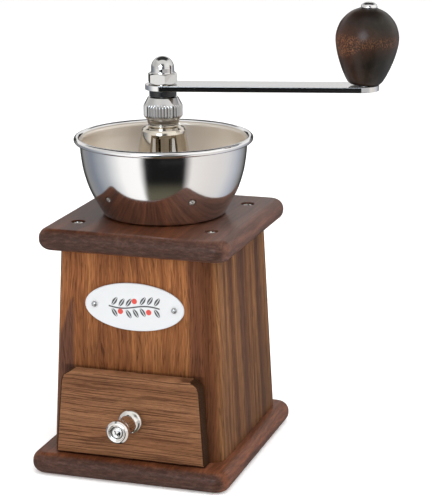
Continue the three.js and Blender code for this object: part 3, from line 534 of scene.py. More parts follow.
def soften(points, radii, n=4, closed=False):
    """Rounds the corners of a polyline; radii is one number or one per point."""
    if isinstance(radii, (int, float)):
        radii = [radii] * len(points)
    out = []
    L = len(points)
    for i, (p, r) in enumerate(zip(points, radii)):
        if (not closed and i in (0, L - 1)) or r <= 0:
            out.append(tuple(p))
            continue
        a, b, c = Vector(points[i - 1]), Vector(p), Vector(points[(i + 1) % L])
        u, v = (a - b), (c - b)
        if u.length < 1e-9 or v.length < 1e-9:
            out.append(tuple(p))
            continue
        lu, lv = u.length, v.length
        u.normalize()
        v.normalize()
        ang = u.angle(v)
        if ang > RAD(176):
            out.append(tuple(p))
            continue
        t = min(r / math.tan(ang / 2), lu * 0.45, lv * 0.45)
        p0, p2 = b + u * t, b + v * t
        for k in range(n + 1):
            s = k / n
            q = p0 * (1 - s) ** 2 + b * 2 * s * (1 - s) + p2 * s * s
            out.append((q.x, q.y))
    return out


def spline(points, n=4):
    """A smooth curve through the points."""
    P = [Vector(p) for p in points]
    P = [P[0] * 2 - P[1]] + P + [P[-1] * 2 - P[-2]]
    out = []
    for i in range(1, len(P) - 2):
        p0, p1, p2, p3 = P[i - 1], P[i], P[i + 1], P[i + 2]
        for k in range(n):
            t = k / n
            q = 0.5 * ((2 * p1) + (p2 - p0) * t + (2 * p0 - 5 * p1 + 4 * p2 - p3) * t * t + (3 * p1 - p0 - 3 * p2 + p3) * t ** 3)
            out.append((q.x, q.y))
    out.append(tuple(P[-2]))
    return out


def lathe(name, profile, seg=96, mats=(), inner=None, radius=None):
    """A closed body turned about Z. inner(i) gives the material of profile step i;
    radius(angle, r, z) may change the radius."""
    on_axis = profile[0][0] < 1e-6 and profile[-1][0] < 1e-6
    verts, faces, fm, rings = [], [], [], []
    for r, z in profile:
        if r < 1e-6:
            rings.append([len(verts)])
            verts.append((0, 0, z))
        else:
            row = []
            for s in range(seg):
                a = 2 * math.pi * s / seg
                q = radius(a, r, z) if radius else r
                row.append(len(verts))
                verts.append((q * math.cos(a), q * math.sin(a), z))
            rings.append(row)
    L = len(rings)
    for i in range(L - 1 if on_axis else L):
        a, b = rings[i], rings[(i + 1) % L]
        for s in range(seg):
            t = (s + 1) % seg
            if len(a) == 1 and len(b) == 1:
                continue
            if len(a) == 1:
                faces.append((a[0], b[s], b[t]))
            elif len(b) == 1:
                faces.append((a[s], b[0], a[t]))
            else:
                faces.append((a[s], b[s], b[t], a[t]))
            fm.append(inner(i) if inner else 0)
    return mesh_from(name, verts, faces, mats, fm)


def prism(name, outline, z0, z1, mats=()):
    n = len(outline)
    verts = [(x, y, z0) for x, y in outline] + [(x, y, z1) for x, y in outline]
    faces = [tuple(range(n))[::-1], tuple(range(n, 2 * n))]
    faces += [(i, (i + 1) % n, n + (i + 1) % n, n + i) for i in range(n)]
    return mesh_from(name, verts, faces, mats)


def inset(outline, d):
    """Moves a counter-clockwise outline inwards by d."""
    n, out = len(outline), []
    for i in range(n):
        a, b, c = Vector(outline[i - 1]), Vector(outline[i]), Vector(outline[(i + 1) % n])
        e, f = (b - a).normalized(), (c - b).normalized()
        nrm = Vector((-(e.y + f.y), e.x + f.x))
        if nrm.length < 1e-9:
            nrm = Vector((-e.y, e.x))
        nrm.normalize()
        k = max(0.5, nrm.dot(Vector((-e.y, e.x))))
        out.append((b.x + nrm.x * d / k, b.y + nrm.y * d / k))
    return out


def soft_plate(name, outline, z0, z1, edge, n=4, mats=(), both=True):
    """A plate of the given outline whose edges are rounded."""
    levels = []
    if both:
        levels += [(edge * (1 - math.sin(RAD(90 * i / n))), z0 + edge * (1 - math.cos(RAD(90 * i / n)))) for i in range(n + 1)]
    else:
        levels += [(0, z0)]
    levels += [(edge * (1 - math.cos(RAD(90 * i / n))), z1 - edge * (1 - math.sin(RAD(90 * i / n)))) for i in range(n + 1)]
    verts, rows = [], []
    for d, z in levels:
        o = inset(outline, d) if d > 1e-6 else outline
        rows.append(list(range(len(verts), len(verts) + len(o))))
        verts += [(x, y, z) for x, y in o]
    faces = [tuple(rows[0])[::-1], tuple(rows[-1])]
    m = len(outline)
    for a, b in zip(rows, rows[1:]):
        faces += [(a[i], a[(i + 1) % m], b[(i + 1) % m], b[i]) for i in range(m)]
    return mesh_from(name, verts, faces, mats)


def rounded_rect(x0, x1, y0, y1, r, n=10):
    return (arc(x1 - r, y0 + r, r, -90, 0, n) + arc(x1 - r, y1 - r, r, 0, 90, n)
            + arc(x0 + r, y1 - r, r, 90, 180, n) + arc(x0 + r, y0 + r, r, 180, 270, n))


def bullnose(name, x0, x1, y0, y1, z0, t, rc, re, mats, n=10):
    verts, rows = [], []
    levels = [(re * (1 - math.cos(RAD(a))), z0 + re + re * math.sin(RAD(a))) for a in [-90 + 90 * i / n for i in range(n + 1)]]
    levels += [(re * (1 - math.cos(RAD(a))), z0 + t - re + re * math.sin(RAD(a))) for a in [90 * i / n for i in range(n + 1)]]
    for d, z in levels:
        o = rounded_rect(x0 + d, x1 - d, y0 + d, y1 - d, max(rc - d, 0.4), 10)
        rows.append(list(range(len(verts), len(verts) + len(o))))
        verts += [(x, y, z) for x, y in o]
    m = len(rows[0])
    faces = [tuple(rows[0])[::-1], tuple(rows[-1])]
    for a, b in zip(rows, rows[1:]):
        faces += [(a[i], a[(i + 1) % m], b[(i + 1) % m], b[i]) for i in range(m)]
    return mesh_from(name, verts, faces, mats)


def cyl(r, z0, z1, x=0.0, y=0.0, seg=48, mats=(), r1=None):
    r1 = r if r1 is None else r1
    ob = lathe("cutter", [(0, z0), (r, z0), (r1, z1), (0, z1)], seg, mats)
    ob.data.transform(Matrix.Translation((x, y, 0)))
    return ob


def box(x0, x1, y0, y1, z0, z1, mats=(), name="cutter"):
    return prism(name, [(x0, y0), (x1, y0), (x1, y1), (x0, y1)], z0, z1, mats)


def cross_slot(z, depth, size, width, M=None, mats=()):
    """Two tapered bars that cut a cross recess down from z."""
    out = []
    for turn in (0, 90):
        s, w = size, width
        v = [(-s, -w, z + 0.3), (s, -w, z + 0.3), (s, w, z + 0.3), (-s, w, z + 0.3),
             (-s * 0.35, -w * 0.7, z - depth), (s * 0.35, -w * 0.7, z - depth), (s * 0.35, w * 0.7, z - depth), (-s * 0.35, w * 0.7, z - depth)]
        f = [(0, 1, 2, 3), (7, 6, 5, 4), (0, 4, 5, 1), (1, 5, 6, 2), (2, 6, 7, 3), (3, 7, 4, 0)]
        c = mesh_from("cutter", v, f, mats)
        c.data.transform(Matrix.Rotation(RAD(turn), 4, "Z"))
        if M is not None:
            c.data.transform(M)
        out.append(c)
    return out


# ------------------------------------------------------------------ wooden body
SCREW_X, SCREW_Y = 33.4, 29.0
base = bullnose("base_board", -BASE_HX, BASE_HX, BASE_Y0, BASE_Y1, 0, BASE_T, 7.5, 4.8, [BASEWOOD])
base = carve(base, [cyl(3.6, -1, 4.2, sx * 38.3, sy * 28.0, mats=[BASEWOOD]) for sx in (-1, 1) for sy in (-1, 1)])
place(base, "housing", ["base_plate"])

top = bullnose("top_board", -TOP_HX, TOP_HX, -TOP_HY, TOP_HY, TOP_Z, TOP_T, 7.7, 5.0, [TOPWOOD])
cuts = [cyl(16.2, TOP_Z - 1, TOP_TOP + 1, seg=72, mats=[TOPWOOD])]
for sx in (-1, 1):
    for sy in (-1, 1):
        # a slightly broken edge round each screw hole
        ob = lathe("cutter", [(0, TOP_TOP - 2.6), (3.3, TOP_TOP - 2.6), (3.3, TOP_TOP - 0.25), (3.6, TOP_TOP + 0.05), (3.6, TOP_TOP + 1), (0, TOP_TOP + 1)], 40, [TOPWOOD])
        ob.data.transform(Matrix.Translation((sx * SCREW_X, sy * SCREW_Y, 0)))
        cuts.append(ob)
top = carve(top, cuts)
place(top, "housing", ["top_plate"])


def tapered(name, outline, z0, z1, mats):
    ob = prism(name, outline, z0, z1, mats)
    for v in ob.data.vertices:
        k = (v.co.z - BASE_T) / (TOP_Z - BASE_T)
        v.co.x -= math.copysign((HX0 - HX1) * k, v.co.x)
        v.co.y -= math.copysign((HY0 - HY1) * k, v.co.y)
    return ob


def face_board(name, sign):
    r = 7.0
    pts = arc(-HX0 + r, -HY0 + r, r, 180, 270, 12) + arc(HX0 - r, -HY0 + r, r, 270, 360, 12)
    pts += [(HX0, -HY0 + 10), (-HX0, -HY0 + 10)]
    return tapered(name, [(x, y * sign) for x, y in pts], BASE_T + 0.02, TOP_Z - 0.02, [WALNUT])


front = carve(face_board("front_board", 1), [box(-31.2, 31.2, -60, -20, 0, 46.6, [WALNUT])])
place(front, "housing", ["front_panel"], sharp=30)
place(face_board("back_board", -1), "housing", ["back_panel"], sharp=30)
for name, node, s in (("left_board", "left_panel", -1), ("right_board", "right_panel", 1)):
    yi = HY0 - 10 - 0.005
    pts = [(s * (HX0 - 10), -yi), (s * HX0, -yi), (s * HX0, yi), (s * (HX0 - 10), yi)]
    place(tapered(name, pts, BASE_T + 0.02, TOP_Z - 0.02, [WALNUT]), "housing", [node], sharp=30)


# ------------------------------------------------------------------ screws
def pan_screw(name, head_r, head_h, shank_r, length, mats, seg=40, turn=20):
    prof = soften([(0, -length), (shank_r * 0.5, -length), (shank_r, -length + 1.2), (shank_r, 0), (head_r, 0), (head_r, head_h * 0.42),
                   (head_r * 0.78, head_h * 0.86), (0, head_h)], [0, 0, 0, 0, 0.1, 0.3, 0.8, 0], 4)
    ob = lathe(name, prof, seg, mats)
    M = Matrix.Rotation(RAD(turn), 4, "Z")
    return carve(ob, cross_slot(head_h, head_h * 0.75, head_r * 0.62, head_r * 0.14, M, [mats[0]]))


i = 1
for sx in (-1, 1):
    for sy in (-1, 1):
        ob = pan_screw("sunk_screw_%d" % i, 2.9, 2.0, 1.5, 22, [SCREWMETAL], turn=17 + 31 * i)
        place(ob, "housing", ["top_screw_%d" % i], Matrix.Translation((sx * SCREW_X, sy * SCREW_Y, TOP_TOP - 2.3)))
        ob = pan_screw("under_screw_%d" % i, 3.2, 2.2, 1.5, 26, [STEEL], turn=5 + 23 * i)
        place(ob, "housing", ["base_screw_%d" % i],
              Matrix.Translation((sx * 38.3, sy * 28.0, 3.9)) @ Matrix.Rotation(math.pi, 4, "X"))
        i += 1
pcr, spread, i = 20.0, 30.0, 1
bridge_screws = []
for w in (0, 180):
    for s in (-1, 1):
        a = RAD(WINDOW_DIR + w + s * spread)
        bridge_screws.append((pcr * math.cos(a), pcr * math.sin(a)))
for i, (x, y) in enumerate(bridge_screws):
    ob = pan_screw("foot_screw_%d" % (i + 1), 2.5, 1.7, 1.6, 20.7, [NICKEL], turn=40 * i)
    place(ob, "housing", ["bridge_screw_%d" % (i + 1)], Matrix.Translation((x, y, FOOT_Z + 1.8)))


# ------------------------------------------------------------------ drawer
def to_front(y, z):
    """Local z runs to the front, local y up the tapered face."""
    return Matrix.Translation((0, y, z)) @ Matrix.Rotation(math.pi / 2 - TILT, 4, "X")


h = (51.6 - 10.9) / math.cos(TILT)
lean = math.degrees(math.atan((37.7 - 35.0) / h))
cx, cy, r = 35.0 - 6.0, h - 6.0, 6.0
outline = [(-37.7, 0.0), (37.7, 0.0)] + arc(cx, cy, r, lean, 90, 12) + arc(-cx, cy, r, 90, 180 - lean, 12)
ob = soft_plate("drawer_face", outline, 0, 7.8, 0.75, 4, [DRAWERWOOD, DRAWER_END_GRAIN_AND_SHADE])
# the side faces take the end-grain material, which carries painted shade
for p in ob.data.polygons:
    p.material_index = 1 if abs(p.normal.x) > 0.16 else 0
place(ob, "drawer", ["drawer_front"], to_front(face_y(10.9) - 0.3, 10.9), sharp=45)


def soft_box(name, x0, x1, y0, y1, z0, z1, e=0.4):
    return soft_plate(name, [(x0, y0), (x1, y0), (x1, y1), (x0, y1)], z0, z1, e, 2, [BOXWOOD])


def drawer_side(name, x0, x1):
    zs = (10.9, 44.6)
    v, f = [], []
    for x in (x0, x1):
        v += [(x, face_y(zs[0]) + 0.02, zs[0]), (x, 34.0, zs[0]), (x, 34.0, zs[1]), (x, face_y(zs[1]) + 0.02, zs[1])]
    f = [(0, 1, 2, 3), (7, 6, 5, 4), (0, 4, 5, 1), (1, 5, 6, 2), (2, 6, 7, 3), (3, 7, 4, 0)]
    ob = mesh_from(name, v, f, [BOXWOOD])
    mod = ob.modifiers.new("edge", "BEVEL")
    mod.width, mod.segments, mod.limit_method = 0.0004, 2, "ANGLE"
    return ob


for name, node, x0, x1 in (("box_left", "drawer_left_side", -30.4, -25.4), ("box_right", "drawer_right_side", 25.4, 30.4)):
    place(drawer_side(name, x0, x1), "drawer", [node], weighted=True)
place(soft_box("box_back", -25.38, 25.38, 29.0, 34.0, 10.9, 44.6, 0.3), "drawer", ["drawer_back"])
place(soft_box("box_floor", -25.38, 25.38, -44.8, 28.98, 11.9, 14.9, 0.1), "drawer", ["drawer_bottom"])

KNOB = Matrix.Translation((0.9, 0, 0)) @ to_front(face_y(30.2) - 0.3 - 7.8 - 0.3, 30.2)
prof = [(1.9, 0), (5.95, 0), (6.2, 0.45), (6.08, 1.3)] + spline([(5.6, 2.05), (3.95, 3.35), (3.12, 5.4), (2.85, 8.5), (3.05, 11.5), (3.9, 14.1), (5.05, 15.35)], 5)
prof += soften([(5.4, 15.75), (5.6, 16.6), (5.5, 17.95), (4.6, 18.98), (3.95, 19.15), (3.6, 18.5), (3.1, 18.5), (3.1, 17.2), (1.9, 17.2)], 0.35, 3)
ob = lathe("spool_knob", prof, 72, [KNOBMETAL])
place(ob, "drawer", ["drawer_knob"], KNOB, sharp=50)
prof = soften([(0, -4.8), (1.0, -4.8), (1.5, -3.8), (1.5, 17.5), (2.75, 17.5), (2.75, 18.3), (2.0, 19.05), (0, 19.3)], [0, 0, 0, 0, 0, 0.35, 0.7, 0], 4)
ob = lathe("spool_screw", prof, 40, [NICKEL])
# the cutters carry the near-black painted-shade metal for the cross recess
ob = carve(ob, cross_slot(19.3, 1.3, 1.75, 0.36, Matrix.Rotation(RAD(38), 4, "Z"), [RECESS_PAINTED_SHADE]))
place(ob, "drawer", ["knob_screw"], KNOB)


# ------------------------------------------------------------------ bowl
outer = spline([(29.7, Z0B + 0.6), (31.0, Z0B + 2.8), (33.5, Z0B + 7.3), (36.5, Z0B + 13.6), (38.9, Z0B + 21.6), (40.1, Z0B + 29.4), (40.42, Z0B + 34.6)], 6)
bead = arc(41.85, 156.4, 1.5, -155, 158, 26)
inner_wall = spline([(40.2, 156.8), (39.72, 156.3), (39.44, 155.5), (39.35, Z0B + 34.6), (39.05, Z0B + 29.4), (37.9, Z0B + 21.9), (35.5, Z0B + 14.0), (32.5, Z0B + 7.8), (30.0, Z0B + 3.4), (27.9, Z0B + 1.0)], 6)
foot = soften([(14.6, Z0B), (28.6, Z0B), (29.7, Z0B + 0.6)], [0, 0.5, 0], 4)[:-1]
prof = foot + outer + bead + inner_wall + [(14.6, Z0B + 1.0)]
n_out = len(foot) + len(outer) + len(bead) - 2
n_wall = len(foot) + len(outer) - 1
ob = lathe("bowl_shell", prof, 160, [MIRROR, INSIDE, RIM], inner=lambda k: 1 if k > n_out else (2 if k > n_wall else 0))
place(ob, "housing", ["hopper_bowl"], sharp=42)

# bridge: a pressed shell with two windows
prof = soften([(5.9, 159.7), (8.5, 159.7), (9.0, 158.6), (10.6, 149.5), (14.6, FOOT_Z + 1.6), (14.9, FOOT_Z), (22.8, FOOT_Z),
               (22.8, FOOT_Z + 1.5), (17.6, FOOT_Z + 1.5), (16.4, FOOT_Z + 2.8), (12.4, 149.5), (10.6, 160.4), (10.0, 161.4),
               (8.4, 162.1), (5.9, 162.1)], [0, 0.3, 0.3, 6, 0, 0, 0.3, 0.3, 1.2, 1.0, 6, 0.4, 0.4, 0.4, 0.3], 4, closed=True)
ob = lathe("bridge_shell", prof, 128, [WARM])
cuts = []
for w in (0, 180):
    pts = [(0.0, 0.0)] + arc(0, 0, 40, WINDOW_DIR + w - WINDOW_HALF, WINDOW_DIR + w + WINDOW_HALF, 16)
    cuts.append(prism("cutter", pts, FOOT_Z + 1.6, 159.4, [WARM]))
place(carve(ob, cuts), "housing", ["bridge"], sharp=34)
ob = lathe("bush", soften([(4.3, 156.6), (5.6, 156.6), (5.6, 162.4), (7.3, 162.4), (7.3, 163.3), (4.3, 163.3)], [0, 0.3, 0, 0.3, 0.3, 0.2], 3, closed=True), 64, [WARM])
place(ob, "housing", ["bearing_bush"])


# ------------------------------------------------------------------ crank
CR = Matrix.Rotation(RAD(ARM_ANGLE), 4, "Z")
prof = soften([(0, 51.2), (3.4, 51.2), (4, 51.8), (4, 52.3), (3.1, 52.3), (3.1, 53.5), (4, 53.5), (4, 191.7), (3.3, 192.4), (0, 192.4)], 0.15, 2)
ob = lathe("shaft", prof, 64, [WARM])
place(ob, "crank", ["spindle"], CR)

FLUTES = 38


def flute(a, r, z):
    """Straight grooves that run out through both chamfers."""
    c = 0.5 + 0.5 * math.cos(FLUTES * a)
    return min(r, 9.45 - 0.60 * (1 - c) ** 1.4) if r > 8.5 else r


def between(p, q, n):
    return [(p[0] + (q[0] - p[0]) * k / n, p[1] + (q[1] - p[1]) * k / n) for k in range(n + 1)]


prof = soften([(4.3, 163.6), (7.4, 163.6), (7.95, 165.9), (8.4, 166.35)], [0, 0.25, 0.4, 0], 3)
prof += between((8.5, 166.45), (9.32, 167.3), 5) + [(9.45, 167.6)] + [(9.45, 167.6 + 4.8 * k / 5) for k in range(1, 6)]
prof += between((9.35, 172.65), (8.5, 174.2), 6) + soften([(8.4, 174.36), (7.2, 176.6), (4.3, 176.6)], [0, 0.3, 0], 4)
ob = lathe("fineness_nut", prof, FLUTES * 8, [NUTMETAL], radius=flute)
place(ob, "nut", ["adjusting_nut"], CR, sharp=50)
ob = lathe("dark_spacer", soften([(4.3, 176.9), (6.55, 176.9), (6.55, 179.9), (4.3, 179.9)], [0, 0.4, 0.4, 0], 5, closed=True), 72, [BLACK])
place(ob, "spacer", ["spacer_ring"], CR)

hw, xe = 8.5, 103.2 - 8.5
outline = [(0.0, -hw)] + arc(xe, 0, hw, -90, 90, 32) + arc(0, 0, hw, 90, 270, 32)
ob = soft_plate("crank_bar", outline[1:], 180.2, 182.8, 0.2, 3, [NICKEL])
place(ob, "crank", ["crank_arm"], CR, sharp=50)

# domed cap nut: hexagon with turned-down corners and a dome
z0, z1, af = 183.1, 188.2, 13.0
hexa = prism("cap", [(af / math.sqrt(3) * math.cos(RAD(60 * k - 62.7)), af / math.sqrt(3) * math.sin(RAD(60 * k - 62.7))) for k in range(6)], z0, z1, [CAPMETAL])
turned = lathe("cutter", [(0, z0 - 0.0), (6.35, z0), (7.55, z0 + 0.75), (7.55, z1 - 0.75), (6.25, z1), (0, z1)], 96, [CAPMETAL])
hexa = carve(hexa, [turned], "INTERSECT")
dome = [(0, 186.0), (5.75, 186.0), (5.75, 188.25)] + spline([(5.62, 188.5), (5.55, 189.2), (5.55, 190.6)], 3) + arc(0, 190.6, 5.5, 2, 89.9, 18)[0:] + [(0, 196.1)]
cap = lathe("cap_dome", dome, 72, [CAPMETAL])
cap = carve(cap, [hexa], "UNION")
cap.name = "domed_nut"
place(cap, "crank", ["cap_nut"], sharp=32)

GR = CR @ Matrix.Translation((96.3, 0, 182.8)) @ Matrix.Rotation(RAD(2.6), 4, "Y")
k = 0.995
prof = [(2.6, 0.6)] + soften([(2.6, 0.6), (7.0 * k, 0.6), (7.6 * k, 1.0)], [0, 0.4, 0], 3)[1:]
prof += spline([(x * k, z) for x, z in [(7.6, 1.0), (8.7, 2.3), (10.8, 6.3), (12.8, 11.3), (14.2, 16.0), (15.05, 20.9), (14.8, 25.0), (13.3, 29.3), (10.9, 32.5), (8.0, 34.9), (4.5, 36.45)]], 6)[1:]
prof += [(3.6, 36.5), (2.6, 36.5)]
ob = lathe("turned_grip", prof, 96, [GRIPWOOD])
place(ob, "grip", ["grip"], GR, sharp=50)
prof = soften([(0, -2.3), (2.2, -2.3), (2.2, 36.8), (3.9, 36.8), (3.9, 37.25)], [0, 0.2, 0, 0.12, 0], 2) + spline([(3.9, 37.25), (3.45, 38.3), (2.2, 39.1), (1.1, 39.37)], 4)[1:] + [(0, 39.45)]
ob = lathe("rivet_pin", prof, 56, [NICKEL])
place(ob, "crank", ["grip_pin"], GR, sharp=50)

# ------------------------------------------------------------------ oval plate
PL = to_front(face_y(83.6) - 0.3, 83.6)
outline = [(24.8 * math.cos(2 * math.pi * k / 120), 11.5 * math.sin(2 * math.pi * k / 120)) for k in range(120)]
ob = soft_plate("oval_plate", outline, -0.28, 0.8, 0.35, 4, [PLATE])
place(ob, "housing", ["name_plate"], PL, sharp=60)
for name, node, x in (("rivet_left", "plate_rivet_left", -20), ("rivet_right", "plate_rivet_right", 20)):
    prof = [(0, -3.9), (0.8, -3.9), (0.8, 0.7), (1.4, 0.72), (1.4, 1.1)] + spline([(1.4, 1.1), (1.15, 1.55), (0.7, 1.82), (0.3, 1.9)], 3)[1:] + [(0, 1.9)]
    ob = lathe(name, prof, 32, [RIVET])
    place(ob, "housing", [node], PL @ Matrix.Translation((x, 0, 0)), sharp=60)

# ------------------------------------------------------------------ tail spring
def coil_height(t):
    """Height along the wire: closed end coils, open ones between them. t counts turns, 0 to 5."""
    return 55.75 + 1.13 * min(t, 1.0) + 2.34 * max(0.0, min(t - 1.0, 3.0)) + 1.13 * max(0.0, t - 4.0)


verts, faces = [], []
STEPS, WIRE = 28, 10
for i in range(5 * STEPS + 1):
    t = i / STEPS
    a = 2 * math.pi * t
    dz = (coil_height(min(t + 0.02, 5.0)) - coil_height(max(t - 0.02, 0.0))) / (min(t + 0.02, 5.0) - max(t - 0.02, 0.0))
    along = Vector((-6.0 * 2 * math.pi * math.sin(a), 6.0 * 2 * math.pi * math.cos(a), dz)).normalized()
    out = Vector((math.cos(a), math.sin(a), 0))
    up = out.cross(along)
    for k in range(WIRE):
        b = 2 * math.pi * k / WIRE
        verts.append(Vector((0, 0, coil_height(t))) + out * (6.0 + 0.55 * math.cos(b)) + up * 0.55 * math.sin(b))
for i in range(5 * STEPS):
    for k in range(WIRE):
        q = (k + 1) % WIRE
        faces.append((i * WIRE + k, i * WIRE + q, (i + 1) * WIRE + q, (i + 1) * WIRE + k))
faces.append(tuple(range(WIRE)))
faces.append(tuple(5 * STEPS * WIRE + k for k in range(WIRE)))
spring = mesh_from("coil_spring", verts, faces, [STEEL])
place(spring, "housing", ["tail_spring"], sharp=60, weighted=False)
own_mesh(spring)

# ------------------------------------------------------------------ carried-over nodes
inside = {"burr_housing": IRON, "outer_burr": BURR, "inner_burr": BURR, "lower_bearing_bar": IRON, "bar_screw_1": STEEL,
          "bar_screw_2": STEEL, "tail_clip": STEEL, "tail_washer": STEEL}
inside.update({"bridge_nut_%d" % k: STEEL for k in (1, 2, 3, 4)})
for node, mat in inside.items():
    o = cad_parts[node]
    for s in o.material_slots:
        s.material = mat
    if not o.material_slots:
        o.data.materials.append(mat)

# ------------------------------------------------------------------ floor, light, camera
floor_mat = Mat("pale_floor")
fx, fy, fz = floor_mat.coords()
fn = floor_mat.noise(floor_mat.vec(floor_mat.mul(fx, 0.004), floor_mat.mul(fy, 0.004), 0.0), detail=2.0)
floor_mat.set(color=floor_mat.mix(fn, (0.93, 0.93, 0.93), (0.95, 0.95, 0.95)), rough=0.7)
floor_mat.b.inputs["Specular IOR Level"].default_value = 0.2
floor_mat.b.inputs["Emission Color"].default_value = (1, 1, 1, 1)
floor_mat.b.inputs["Emission Strength"].default_value = 0.27
floor = mesh_from("floor", [(-9000, -9000, -0.1), (9000, -9000, -0.1), (9000, 9000, -0.1), (-9000, 9000, -0.1)], [(0, 1, 2, 3)], [floor_mat.m])
floor.data.transform(Matrix.Scale(MM, 4))
floor.visible_glossy = False

YAW, PITCH, ROLL = RAD(18.17840), RAD(14.77439), -0.0069
POS = Vector((0.2903176, -0.8018394, 0.326204))
right = Vector((math.cos(YAW), math.sin(YAW), 0))
fwd = Vector((-math.sin(YAW) * math.cos(PITCH), math.cos(YAW) * math.cos(PITCH), -math.sin(PITCH)))
up = right.cross(fwd)
r2 = right * math.cos(ROLL) + up * math.sin(ROLL)
u2 = up * math.cos(ROLL) - right * math.sin(ROLL)
cam_data = bpy.data.cameras.new("camera")
cam = bpy.data.objects.new("camera", cam_data)
scene.collection.objects.link(cam)
cam.matrix_world = Matrix(((r2.x, u2.x, -fwd.x, POS.x), (r2.y, u2.y, -fwd.y, POS.y), (r2.z, u2.z, -fwd.z, POS.z), (0, 0, 0, 1)))
cam_data.sensor_width = 36.0
cam_data.lens = 130.71
cam_data.clip_start = 0.05
cam_data.clip_end = 60.0
scene.camera = cam


def area(name, pos, target, size, power, color=(1, 1, 1), glossy=False):
    d = bpy.data.lights.new(name, "AREA")
    d.shape = "RECTANGLE"
    d.size, d.size_y = size
    d.energy = power
    d.color = color
    o = bpy.data.objects.new(name, d)
    scene.collection.objects.link(o)
    o.location = pos
    o.rotation_mode = "QUATERNION"
    o.rotation_quaternion = (Vector(target) - Vector(pos)).to_track_quat("-Z", "Y")
    o.visible_glossy = glossy
    return o


area("key", (0.9, -0.7, 1.5), (0, 0, 0.1), (1.2, 1.2), 16)
area("fill", (-1.3, -0.9, 0.9), (0, 0, 0.1), (1.2, 1.2), 8)
area("overhead", (0.0, 0.2, 1.9), (0, 0, 0.1), (1.6, 1.6), 14)

# The room round the object: white to the eye and for soft light. What the metal
# mirrors has bright tables left and right, a dark gap in front and dark edges behind.
world = bpy.data.worlds.new("studio")
scene.world = world
world.use_nodes = True
W = Mat.__new__(Mat)
W.t = world.node_tree
W.t.nodes.clear()
wout = W.t.nodes.new("ShaderNodeOutputWorld")
tc = W.t.nodes.new("ShaderNodeTexCoord")
sp = W.t.nodes.new("ShaderNodeSeparateXYZ")
W.t.links.new(tc.outputs["Generated"], sp.inputs[0])
dx, dy, dz = sp.outputs
c0 = Vector((POS.x, POS.y)).normalized()
rr = Vector((-c0.y, c0.x))
fr = W.add(W.mul(dx, c0.x), W.mul(dy, c0.y))
la = W.add(W.mul(dx, rr.x), W.mul(dy, rr.y))
az = W.add(W.mul(W.math("ARCTAN2", la, fr), 0.5 / math.pi), 0.5)
el = W.mul(W.math("ARCSINE", dz), 180 / math.pi)


def deg(d):
    return d / 360.0 + 0.5


def g(v, t=(1, 1, 1)):
    return (v * t[0], v * t[1], v * t[2])


low = W.ramp(az, [
    (deg(-179), g(0.02)), (deg(-158), g(0.05)), (deg(-146), g(0.30)), (deg(-120), (0.24, 0.27, 0.325)),
    (deg(-92), (0.50, 0.53, 0.57)), (deg(-62), g(1.16)), (deg(-36), g(1.22)), (deg(-26), g(0.012)),
    (deg(28), g(0.012)), (deg(40), (0.98, 0.95, 0.93)), (deg(66), (0.90, 0.865, 0.84)), (deg(100), (0.80, 0.79, 0.80)),
    (deg(124), (0.52, 0.545, 0.62)), (deg(146), g(0.26)), (deg(160), g(0.04)), (deg(179), g(0.02))])
high = W.ramp(az, [
    (deg(-179), g(0.79)), (deg(-150), g(0.98)), (deg(-120), g(0.72)), (deg(-90), g(0.72)), (deg(-55), g(0.90)), (deg(-25), g(0.98)),
    (deg(-13), g(0.16)), (deg(13), g(0.16)), (deg(25), g(1.12)), (deg(60), g(1.25)), (deg(95), g(1.15)), (deg(120), g(0.98)),
    (deg(150), g(0.98)), (deg(179), g(0.79))])
# overhead
side = W.math("ABSOLUTE", la)
over = W.ramp(side, [(0.0, g(1.0)), (0.60, g(1.05)), (1.0, g(0.85))])
# far below, the dark gap in front turns into an olive table top
turned = W.math("ABSOLUTE", W.sub(az, 0.5))
gap = W.step(turned, 0.070, 0.105, 1.0, 0.0)
low = W.mix(W.mul(gap, W.step(el, -50.0, -30.0, 1.0, 0.0)), low, (0.135, 0.128, 0.088))
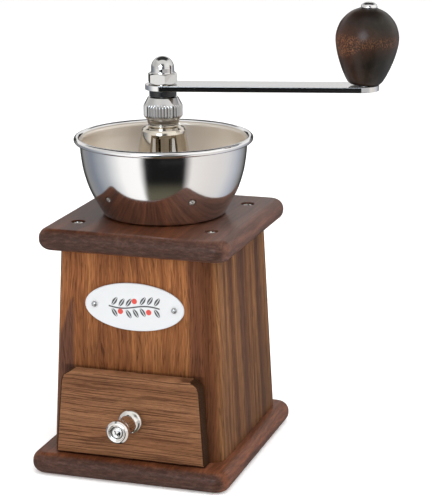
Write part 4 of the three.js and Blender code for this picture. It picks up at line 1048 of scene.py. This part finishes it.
# behind the object the dark edge reaches higher, most of all beside the axis of view
edge = W.add(el, W.mul(W.step(turned, 0.38, 0.42), W.step(turned, 0.466, 0.478, -10.0, -3.0)))
refl = W.mix(W.step(edge, 2.5, 5.6), low, high)
# a pale card just in front, a bright ceiling, a dark ceiling patch behind, and a small lamp
card = W.mul(W.step(az, deg(-4.5), deg(-3.0)), W.step(az, deg(40.0), deg(60.0), 1.0, 0.0))
card = W.mul(card, W.mul(W.step(el, -13.5, -11.5), W.step(el, 2.0, 6.0, 1.0, 0.0)))
refl = W.mix(card, refl, (0.62, 0.62, 0.63))
refl = W.mix(W.step(el, 34.0, 52.0), refl, over)
patch = W.mul(W.step(side, 0.46, 0.66, 1.0, 0.0), W.mul(W.step(fr, -0.05, 0.10, 1.0, 0.0), W.step(el, 27.0, 34.0)))
refl = W.mix(patch, refl, (0.05, 0.05, 0.052))
spot = W.add(W.mul(W.math("ABSOLUTE", W.sub(az, deg(-22.0))), 360.0), W.math("ABSOLUTE", W.sub(el, 16.0)))
refl = W.mix(W.step(spot, 11.0, 25.0, 1.0, 0.0), refl, (6.4, 7.4, 8.6))
lp = W.t.nodes.new("ShaderNodeLightPath")
bg1 = W.t.nodes.new("ShaderNodeBackground")
bg1.inputs[0].default_value = (1, 1, 1, 1)
bg1.inputs[1].default_value = 0.62
bg2 = W.t.nodes.new("ShaderNodeBackground")
W.put(bg2.inputs[0], refl)
bg2.inputs[1].default_value = 1.0
bg3 = W.t.nodes.new("ShaderNodeBackground")
bg3.inputs[0].default_value = (1, 1, 1, 1)
bg3.inputs[1].default_value = 1.0
mx1 = W.t.nodes.new("ShaderNodeMixShader")
mx2 = W.t.nodes.new("ShaderNodeMixShader")
W.t.links.new(lp.outputs["Is Glossy Ray"], mx1.inputs[0])
W.t.links.new(bg1.outputs[0], mx1.inputs[1])
W.t.links.new(bg2.outputs[0], mx1.inputs[2])
W.t.links.new(lp.outputs["Is Camera Ray"], mx2.inputs[0])
W.t.links.new(mx1.outputs[0], mx2.inputs[1])
W.t.links.new(bg3.outputs[0], mx2.inputs[2])
W.t.links.new(mx2.outputs[0], wout.inputs[0])
